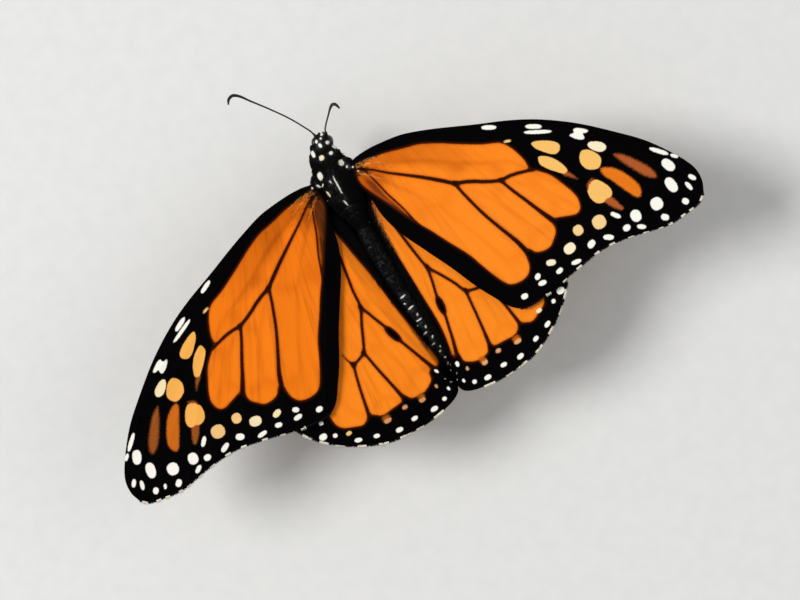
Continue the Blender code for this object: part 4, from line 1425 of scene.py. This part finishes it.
@dataclass
class Head:
    """What the head carries: compound eyes, palps and the coiled tongue."""

    centre: tuple[float, float, float] = (0.50, 5.99, -2.52)
    turn: float = -22.0
    eye_radii: tuple[float, float, float] = (0.60, 0.88, 0.92)
    eye_centre: tuple[float, float, float] = (1.01, 0.06, -0.24)
    palp: Knots = ((0.26, 0.80, -0.95, 0.14), (0.30, 1.08, -0.76, 0.16), (0.32, 1.24, -0.52, 0.17),
                   (0.33, 1.32, -0.28, 0.14), (0.33, 1.35, -0.08, 0.08))
    coil_radius: float = 0.52
    coil_centre: tuple[float, float, float] = (0.0, 1.02, -1.16)
    coil_start: float = 15.0
    coil_sweep: float = 900.0
    coil_steps: int = 72
    coil_rings: int = 400

    def pose(self) -> Matrix:
        """The head's own frame in the wing-root frame."""
        return Matrix.Translation(self.centre) @ Matrix.Rotation(math.radians(self.turn), 4, "Z")

    def build(self, datum: Datum, hair: bpy.types.Material, limb: bpy.types.Material,
              rng: np.random.Generator) -> None:
        """Model eyes, palps and tongue."""
        eye_finish = CompoundEye().build()
        for side in Side:
            bm = bmesh.new()
            bmesh.ops.create_uvsphere(bm, u_segments=72, v_segments=48, radius=1.0)
            bmesh.ops.scale(bm, verts=bm.verts[:], vec=self.eye_radii)
            bmesh.ops.translate(bm, verts=bm.verts[:],
                                vec=(side.way * self.eye_centre[0], *self.eye_centre[1:]))
            bmesh.ops.transform(bm, verts=bm.verts[:], matrix=self.pose())
            name = "eye_" + side.value
            settle(name + "_lens", mesh_of(name, bm), datum, [eye_finish], [name])
            rows = [(side.way * x, y, z, r) for x, y, z, r in self.palp]
            mesh = tube(capped(rows), 24, 60)
            self.palp_coat("palp_" + side.value + "_coat", mesh, datum, hair, rng)
            mesh.transform(self.pose())
            settle("palp_" + side.value + "_skin", mesh, datum, [limb],
                   ["palp_" + side.value])
        self.tongue(datum, limb)

    def tongue(self, datum: Datum, limb: bpy.types.Material) -> None:
        """The proboscis, coiled under the face and narrowing inwards."""
        path = [(0.0, 0.95, -0.60, 0.10)]
        x, y, z = self.coil_centre
        for i in range(self.coil_steps + 1):
            share = i / self.coil_steps
            angle = math.radians(self.coil_start + self.coil_sweep * share)
            reach = self.coil_radius * (1.0 - 0.72 * share)
            path.append((x, y + reach * math.cos(angle), z - reach * math.sin(angle),
                         0.085 * (1.0 - 0.45 * share)))
        mesh = tube(capped(path), 14, self.coil_rings,
                    lambda t, turn: 1.0 + 0.05 * np.sin(t * self.coil_rings * math.pi))
        mesh.transform(self.pose())
        settle("proboscis_coil", mesh, datum, [limb], ["proboscis"])

    def palp_coat(self, name: str, mesh: bpy.types.Mesh, datum: Datum, hair: bpy.types.Material,
                  rng: np.random.Generator) -> None:
        """Short black bristles along a palp, with a white streak on its outer face."""
        root, normal, place = scatter(mesh, 210.0, rng, lambda p: np.ones(len(p)))
        count = len(root)
        lie = np.array((0.0, 0.7, 0.5)) + rng.normal(0, 0.3, (count, 3))
        outer = soft_step(0.55, 0.8, np.sign(root[:, 0]) * normal[:, 0])
        share = outer * soft_step(0.15, 0.3, place[:, 0]) * soft_step(0.75, 0.6, place[:, 0])
        coat = Coat(root, normal, lie, rng.uniform(0.10, 0.18, count), np.full(count, 0.045),
                    rng.uniform(0.2, 0.5, count), columns(share, 0.0, 0.0), place[:, :2])
        made = coat.build(name)
        made.transform(self.pose())
        settle(name, made, datum, [hair])


@dataclass
class Antenna:
    """One feeler: a bead at the root, a ringed shaft and a slender club."""

    side: Side
    course: Knots
    rings: int = 42

    def build(self, datum: Datum, limb: bpy.types.Material) -> None:
        """Model the feeler; each joint swells a little, as the real one's do."""

        def joints(t: np.ndarray, turn: np.ndarray) -> np.ndarray:
            """Swelling of each ring."""
            return 0.90 + 0.14 * np.abs(np.sin(t * self.rings * math.pi)) ** 0.6

        mesh = tube(capped(self.course), 20, self.rings * 9, joints)
        settle("antenna_" + self.side.value + "_shaft", mesh, datum, [limb],
               ["antenna_" + self.side.value])


@dataclass
class Leg:
    """One leg: coxa, femur, tibia and a jointed foot with claws."""

    name: str
    side: Side
    course: Knots
    joints: tuple[tuple[float, float], ...]
    spurs: tuple[float, ...] = ()
    claws: bool = True

    def shape(self, t: np.ndarray, turn: np.ndarray) -> np.ndarray:
        """Waists at the joints."""
        factor = np.ones(len(t))
        for place, depth in self.joints:
            factor -= depth * bell(t, place, 0.007)
        return factor

    def build(self, datum: Datum, limb: bpy.types.Material, hair: bpy.types.Material,
              rng: np.random.Generator) -> None:
        """Model the leg, its spurs, claws and bristles, with two pale flecks near its root."""
        rows = [(x * self.side.way, y, z - STANCE, r) for x, y, z, r in self.course]
        main = tube(capped(rows), 22, 240, self.shape)
        along, turn, _ = read_rows(main.attributes["place"].data).T
        bands = [0.8 * np.exp(-((along - at) / 0.02) ** 6) for at in (0.16, 0.30)]
        paint(main, "mark", columns(np.maximum(*bands) * (np.abs(turn - 0.3) < 0.08), 0.0, 0.0))
        self.bristles(main, rows, datum, hair, rng)
        line = curve(rows, np.linspace(0, 1, 200))[:, :3]
        spines = [spur for at in self.spurs for spur in self.spur_pair(line, at)]
        if self.claws:
            spines += self.claw_pair(line)
        settle(self.name + "_cuticle", merge([main] + spines), datum, [limb], [self.name])

    def bristles(self, main: bpy.types.Mesh, rows: Knots, datum: Datum, hair: bpy.types.Material,
                 rng: np.random.Generator) -> None:
        """Fine bristles that lie along the leg, none where it rests on the ground."""
        root, normal, spot = scatter(main, 26.0, rng, lambda p: np.ones(len(p)))
        count = len(root)
        ahead = unit((curve(rows, np.clip(spot[:, 0] + 0.01, 0, 1)) - curve(rows, spot[:, 0]))[:, :3])
        keep = root[:, 2] + STANCE > 0.12
        left = int(keep.sum())
        Coat(root[keep], normal[keep], ahead[keep], rng.uniform(0.12, 0.26, count)[keep],
             np.full(left, 0.035), rng.uniform(0.3, 0.6, count)[keep], np.zeros((left, 3)), spot[keep, :2],
             Tuft(bend=0.1, taper=0.4)).lay(self.name + "_bristles", datum, hair)

    def spur_pair(self, line: np.ndarray, at: float) -> list[bpy.types.Mesh]:
        """Two spurs that start at a share of the leg's length and point along it, one to each side."""
        i = int(at * (len(line) - 1))
        base, ahead = line[i], line[min(len(line) - 1, i + 6)] - line[i]
        ahead = ahead / np.linalg.norm(ahead)
        made = []
        for turn in (-1.0, 1.0):
            tip = base + ahead * 0.55 + np.cross(ahead, (0.0, 0.0, 1.0)) * turn * 0.30
            tip[2] = max(tip[2], 0.10 - STANCE)
            made.append(tube([(*base, 0.0), (*(base + (tip - base) * 0.1), 0.06),
                              (*(base + (tip - base) * 0.5), 0.045), (*tip, 0.0)], 8, 10))
        return made

    def claw_pair(self, line: np.ndarray) -> list[bpy.types.Mesh]:
        """Two claws at the foot's end, arched and bent down to the ground."""
        end, ahead = line[-1], line[-1] - line[-8]
        ahead = ahead / np.linalg.norm(ahead)
        aside = np.cross(ahead, (0.0, 0.0, 1.0))
        made = []
        for turn in (-1.0, 1.0):
            mid = end + ahead * 0.30 + aside * turn * 0.16 + np.array((0, 0, 0.05))
            tip = end + ahead * 0.46 + aside * turn * 0.26
            tip[2] = 0.07 - STANCE
            made.append(tube([(*end, 0.0), (*(end + (mid - end) * 0.2), 0.07), (*mid, 0.06),
                              (*tip, 0.0)], 8, 12))
        return made


# Legs rise from the ground: across, forwards, up and the half width at each knot.
LEG_FORE: Knots = ((0.9, 2.0, 9.5, 0.24), (1.0, 2.2, 8.9, 0.26), (1.2, 2.5, 8.15, 0.24),
                   (1.38, 3.5, 7.6, 0.25), (1.38, 4.25, 7.05, 0.21), (1.28, 3.65, 6.6, 0.18),
                   (1.2, 2.9, 6.5, 0.12))
LEG_MID: Knots = ((0.9, -1.4, 9.4, 0.42), (1.1, -1.5, 8.7, 0.44), (1.6, -1.6, 8.0, 0.38),
                  (3.9, -1.9, 8.5, 0.33), (6.2, -2.3, 8.1, 0.22), (7.3, -2.7, 5.0, 0.18),
                  (8.3, -3.0, 1.5, 0.17), (8.8, -3.0, 0.5, 0.17), (9.4, -2.9, 0.19, 0.17),
                  (12.4, -2.2, 0.18, 0.16), (12.95, -2.0, 0.18, 0.15))
LEG_HIND: Knots = ((0.7, -4.6, 10.0, 0.38), (0.9, -5.0, 9.1, 0.42), (1.4, -5.7, 8.25, 0.38),
                   (3.1, -8.3, 8.6, 0.33), (4.9, -11.3, 7.7, 0.22), (6.3, -14.0, 4.4, 0.18),
                   (7.4, -16.4, 1.5, 0.17), (7.65, -16.9, 0.5, 0.17), (7.9, -17.5, 0.19, 0.17),
                   (9.4, -21.6, 0.18, 0.16), (9.62, -22.2, 0.18, 0.15))
ANTENNA_LEFT: Knots = (
    (0.22, 6.95, -1.95, 0.17), (0.20, 7.36, -1.75, 0.19), (0.12, 7.68, -1.68, 0.13),
    (-0.17, 8.45, -1.55, 0.115), (-1.65, 11.15, -1.05, 0.115), (-3.4, 13.7, -0.45, 0.12),
    (-5.2, 16.1, 0.15, 0.14), (-6.1, 17.35, 0.5, 0.19), (-6.9, 17.95, 0.85, 0.23),
    (-7.6, 17.75, 1.15, 0.21), (-7.95, 17.15, 1.4, 0.13))
ANTENNA_RIGHT: Knots = (
    (1.66, 6.44, -1.95, 0.17), (1.86, 6.76, -1.66, 0.19), (1.95, 6.90, -1.35, 0.13),
    (2.20, 7.06, -0.5, 0.115), (3.1, 7.25, 1.9, 0.115), (4.3, 7.5, 4.7, 0.12), (5.5, 7.8, 7.3, 0.14),
    (6.35, 8.0, 9.1, 0.19), (7.0, 8.0, 10.2, 0.23), (7.45, 7.7, 10.65, 0.21), (7.6, 7.1, 10.35, 0.13))


# --- studio --------------------------------------------------------------------------------------------


@dataclass
class Studio:
    """Pale floor, soft light and the camera."""

    eye: tuple[float, float, float] = (88.798, -57.075, 437.878)
    view: tuple[float, float, float] = (-0.19867, 0.08368, -0.97649)
    up: tuple[float, float, float] = (0.49263, 0.86986, -0.02569)
    lens: float = 141.65

    def camera(self, datum: Datum) -> None:
        """Look down on the butterfly from its right, with a long lens."""
        data = bpy.data.cameras.new("view")
        data.lens, data.sensor_width = self.lens, 36.0
        data.clip_start, data.clip_end = 0.01, 20.0
        data.dof.use_dof = False
        obj = bpy.data.objects.new("view", data)
        bpy.context.scene.collection.objects.link(obj)
        back = -Vector(self.view).normalized()
        right = Vector(self.up).cross(back).normalized()
        top = back.cross(right)
        turn = Matrix((right, top, back)).transposed().to_4x4()
        obj.matrix_world = Matrix.Translation(datum.matrix() @ Vector(self.eye)) @ turn
        bpy.context.scene.camera = obj

    def floor(self) -> None:
        """A large pale matt sheet under the feet."""
        bm = bmesh.new()
        bmesh.ops.create_grid(bm, x_segments=2, y_segments=2, size=3.0)
        mesh = mesh_of("floor", bm)
        mat, tree = make_material("matt_card")
        finish(tree, ramp(tree, noise(tree, 2.5, 2.0), ((0.3, "d3d3d0"), (0.7, "d7d6d3"))),
               {"Roughness": 0.9, "Specular IOR Level": 0.1})
        mesh.materials.append(mat)
        obj = bpy.data.objects.new("floor", mesh)
        bpy.context.scene.collection.objects.link(obj)

    def lights(self) -> None:
        """A broad key from the butterfly's left, a fill and an even surround."""
        world = bpy.data.worlds.new("surround")
        world.use_nodes = True
        surround = world.node_tree.nodes["Background"].inputs
        surround[0].default_value, surround[1].default_value = linear("f2f4f8"), 0.47
        bpy.context.scene.world = world
        for name, place, size, power in (("key", (-0.45, 0.35, 0.80), 0.5, 7.8),
                                         ("fill", (0.70, -0.30, 0.55), 0.8, 2.4)):
            data = bpy.data.lights.new(name, "AREA")
            data.shape, data.size, data.energy = "DISK", size, power
            obj = bpy.data.objects.new(name, data)
            bpy.context.scene.collection.objects.link(obj)
            obj.location = place
            obj.rotation_euler = Vector(place).to_track_quat("Z", "Y").to_euler()

    def build(self, datum: Datum) -> None:
        """Set the stage, with colours shown as they are."""
        bpy.context.scene.view_settings.view_transform = "Standard"
        self.camera(datum)
        self.floor()
        self.lights()


# --- the butterfly -------------------------------------------------------------------------------------

# Oranges from dark to light, strength of the streaks, the marks' ramp and the deepest ground.
# The left wings' darker oranges, stronger streaks, ramp and deepest ground are painted shade, as they turn
# from the light.
FORE_UPPER = {Side.RIGHT: (("b04e08", "ec7c1b", "ef8624"), 0.20, MARK_STOPS, "6e3212"),
              Side.LEFT: (("9c4506", "e37012", "e97a16"), 0.36, SHADED_STOPS, "48240c")}
HIND_UPPER = {Side.RIGHT: (("b8621a", "ea7e1a", "ee8624"), 0.16, MARK_STOPS),
              Side.LEFT: (("a85a14", "eb7b17", "ee8420"), 0.24, SHADED_STOPS)}
# Each pair of legs: course, joints (share of the length, depth of the waist), spurs and claws. A walking
# leg's foot has four joints of its own.
LEGS = (("leg_fore_", LEG_FORE, ((0.30, 0.3), (0.66, 0.3)), (), False),
        ("leg_mid_", LEG_MID, ((0.12, 0.3), (0.39, 0.35), (0.75, 0.3), (0.84, 0.25), (0.89, 0.25),
                               (0.93, 0.25), (0.96, 0.25)), (0.70,), True),
        ("leg_hind_", LEG_HIND, ((0.12, 0.3), (0.40, 0.35), (0.74, 0.3), (0.83, 0.25), (0.88, 0.25),
                                 (0.92, 0.25), (0.96, 0.25)), (0.69,), True))


def wings(side: Side) -> tuple[Wing, Wing]:
    """The forewing and hindwing of one side, each turned in its plane as the butterfly holds it."""
    right = side is Side.RIGHT
    fore = Wing("forewing_" + side.value, side, FORE_ROOT, turn=0.0 if right else 2.8, costa=FORE_COSTA,
                trail=FORE_TRAIL, drop=0.0, grid=(270, 130), markings=fore_markings(side),
                fringe_from=(0.50, 1.0), dashes=FORE_DASHES,
                upper=WingScales(Face.UPPER, *FORE_UPPER[side]),
                under=WingScales(Face.UNDER, ("c98a4a", "eda259", "f4b270"), 0.1),
                dusk=fore_dusk if right else fore_dusk_left_shaded)
    hind = Wing("hindwing_" + side.value, side, HIND_ROOT, turn=0.0 if right else -4.1, costa=HIND_COSTA,
                trail=HIND_TRAIL, drop=0.85, grid=(230, 120), markings=hind_markings(side),
                fringe_from=(0.86, 0.66), dashes=HIND_DASHES,
                upper=WingScales(Face.UPPER, *HIND_UPPER[side]),
                under=WingScales(Face.UNDER, ("cfa263", "e3bd80", "ecca92"), 0.1),
                fold=HIND_FOLD, dusk=None if right else hind_fold_shade, hair_tone=(0.48, 0.64))
    return fore, hind


def main() -> None:
    """Build every piece in order."""
    logging.basicConfig(level=logging.INFO, format="%(name)s %(message)s")
    rng = np.random.default_rng(41)
    datum = Datum.from_frame()
    Studio().build(datum)
    hair = ScaleHair().build()
    limb = Cuticle("limb_cuticle", "080606", "1f1613", 0.42, 0.09, 0.012).build()
    for side in Side:
        fore, hind = wings(side)
        fore.build(datum)
        fore.fringe(datum, hair, rng)
        fore.root_hair(datum, hair, rng, 900, fore_reach, (0.35, 0.9))
        hind.build(datum)
        hind.fringe(datum, hair, rng)
        shift = 0.0 if side is Side.RIGHT else 0.55
        hind.root_hair(datum, hair, rng, 3000, lambda r, n: hind_reach(r, n, shift), (0.5, 1.1))
    Body().build(datum, hair, rng)
    Head().build(datum, hair, limb, rng)
    Antenna(Side.LEFT, ANTENNA_LEFT).build(datum, limb)
    Antenna(Side.RIGHT, ANTENNA_RIGHT).build(datum, limb)
    for side in Side:
        for name, course, joints, spurs, claws in LEGS:
            Leg(name + side.value, side, course, joints, spurs, claws).build(datum, limb, hair, rng)
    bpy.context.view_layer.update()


if __name__ == "__main__":
    main()
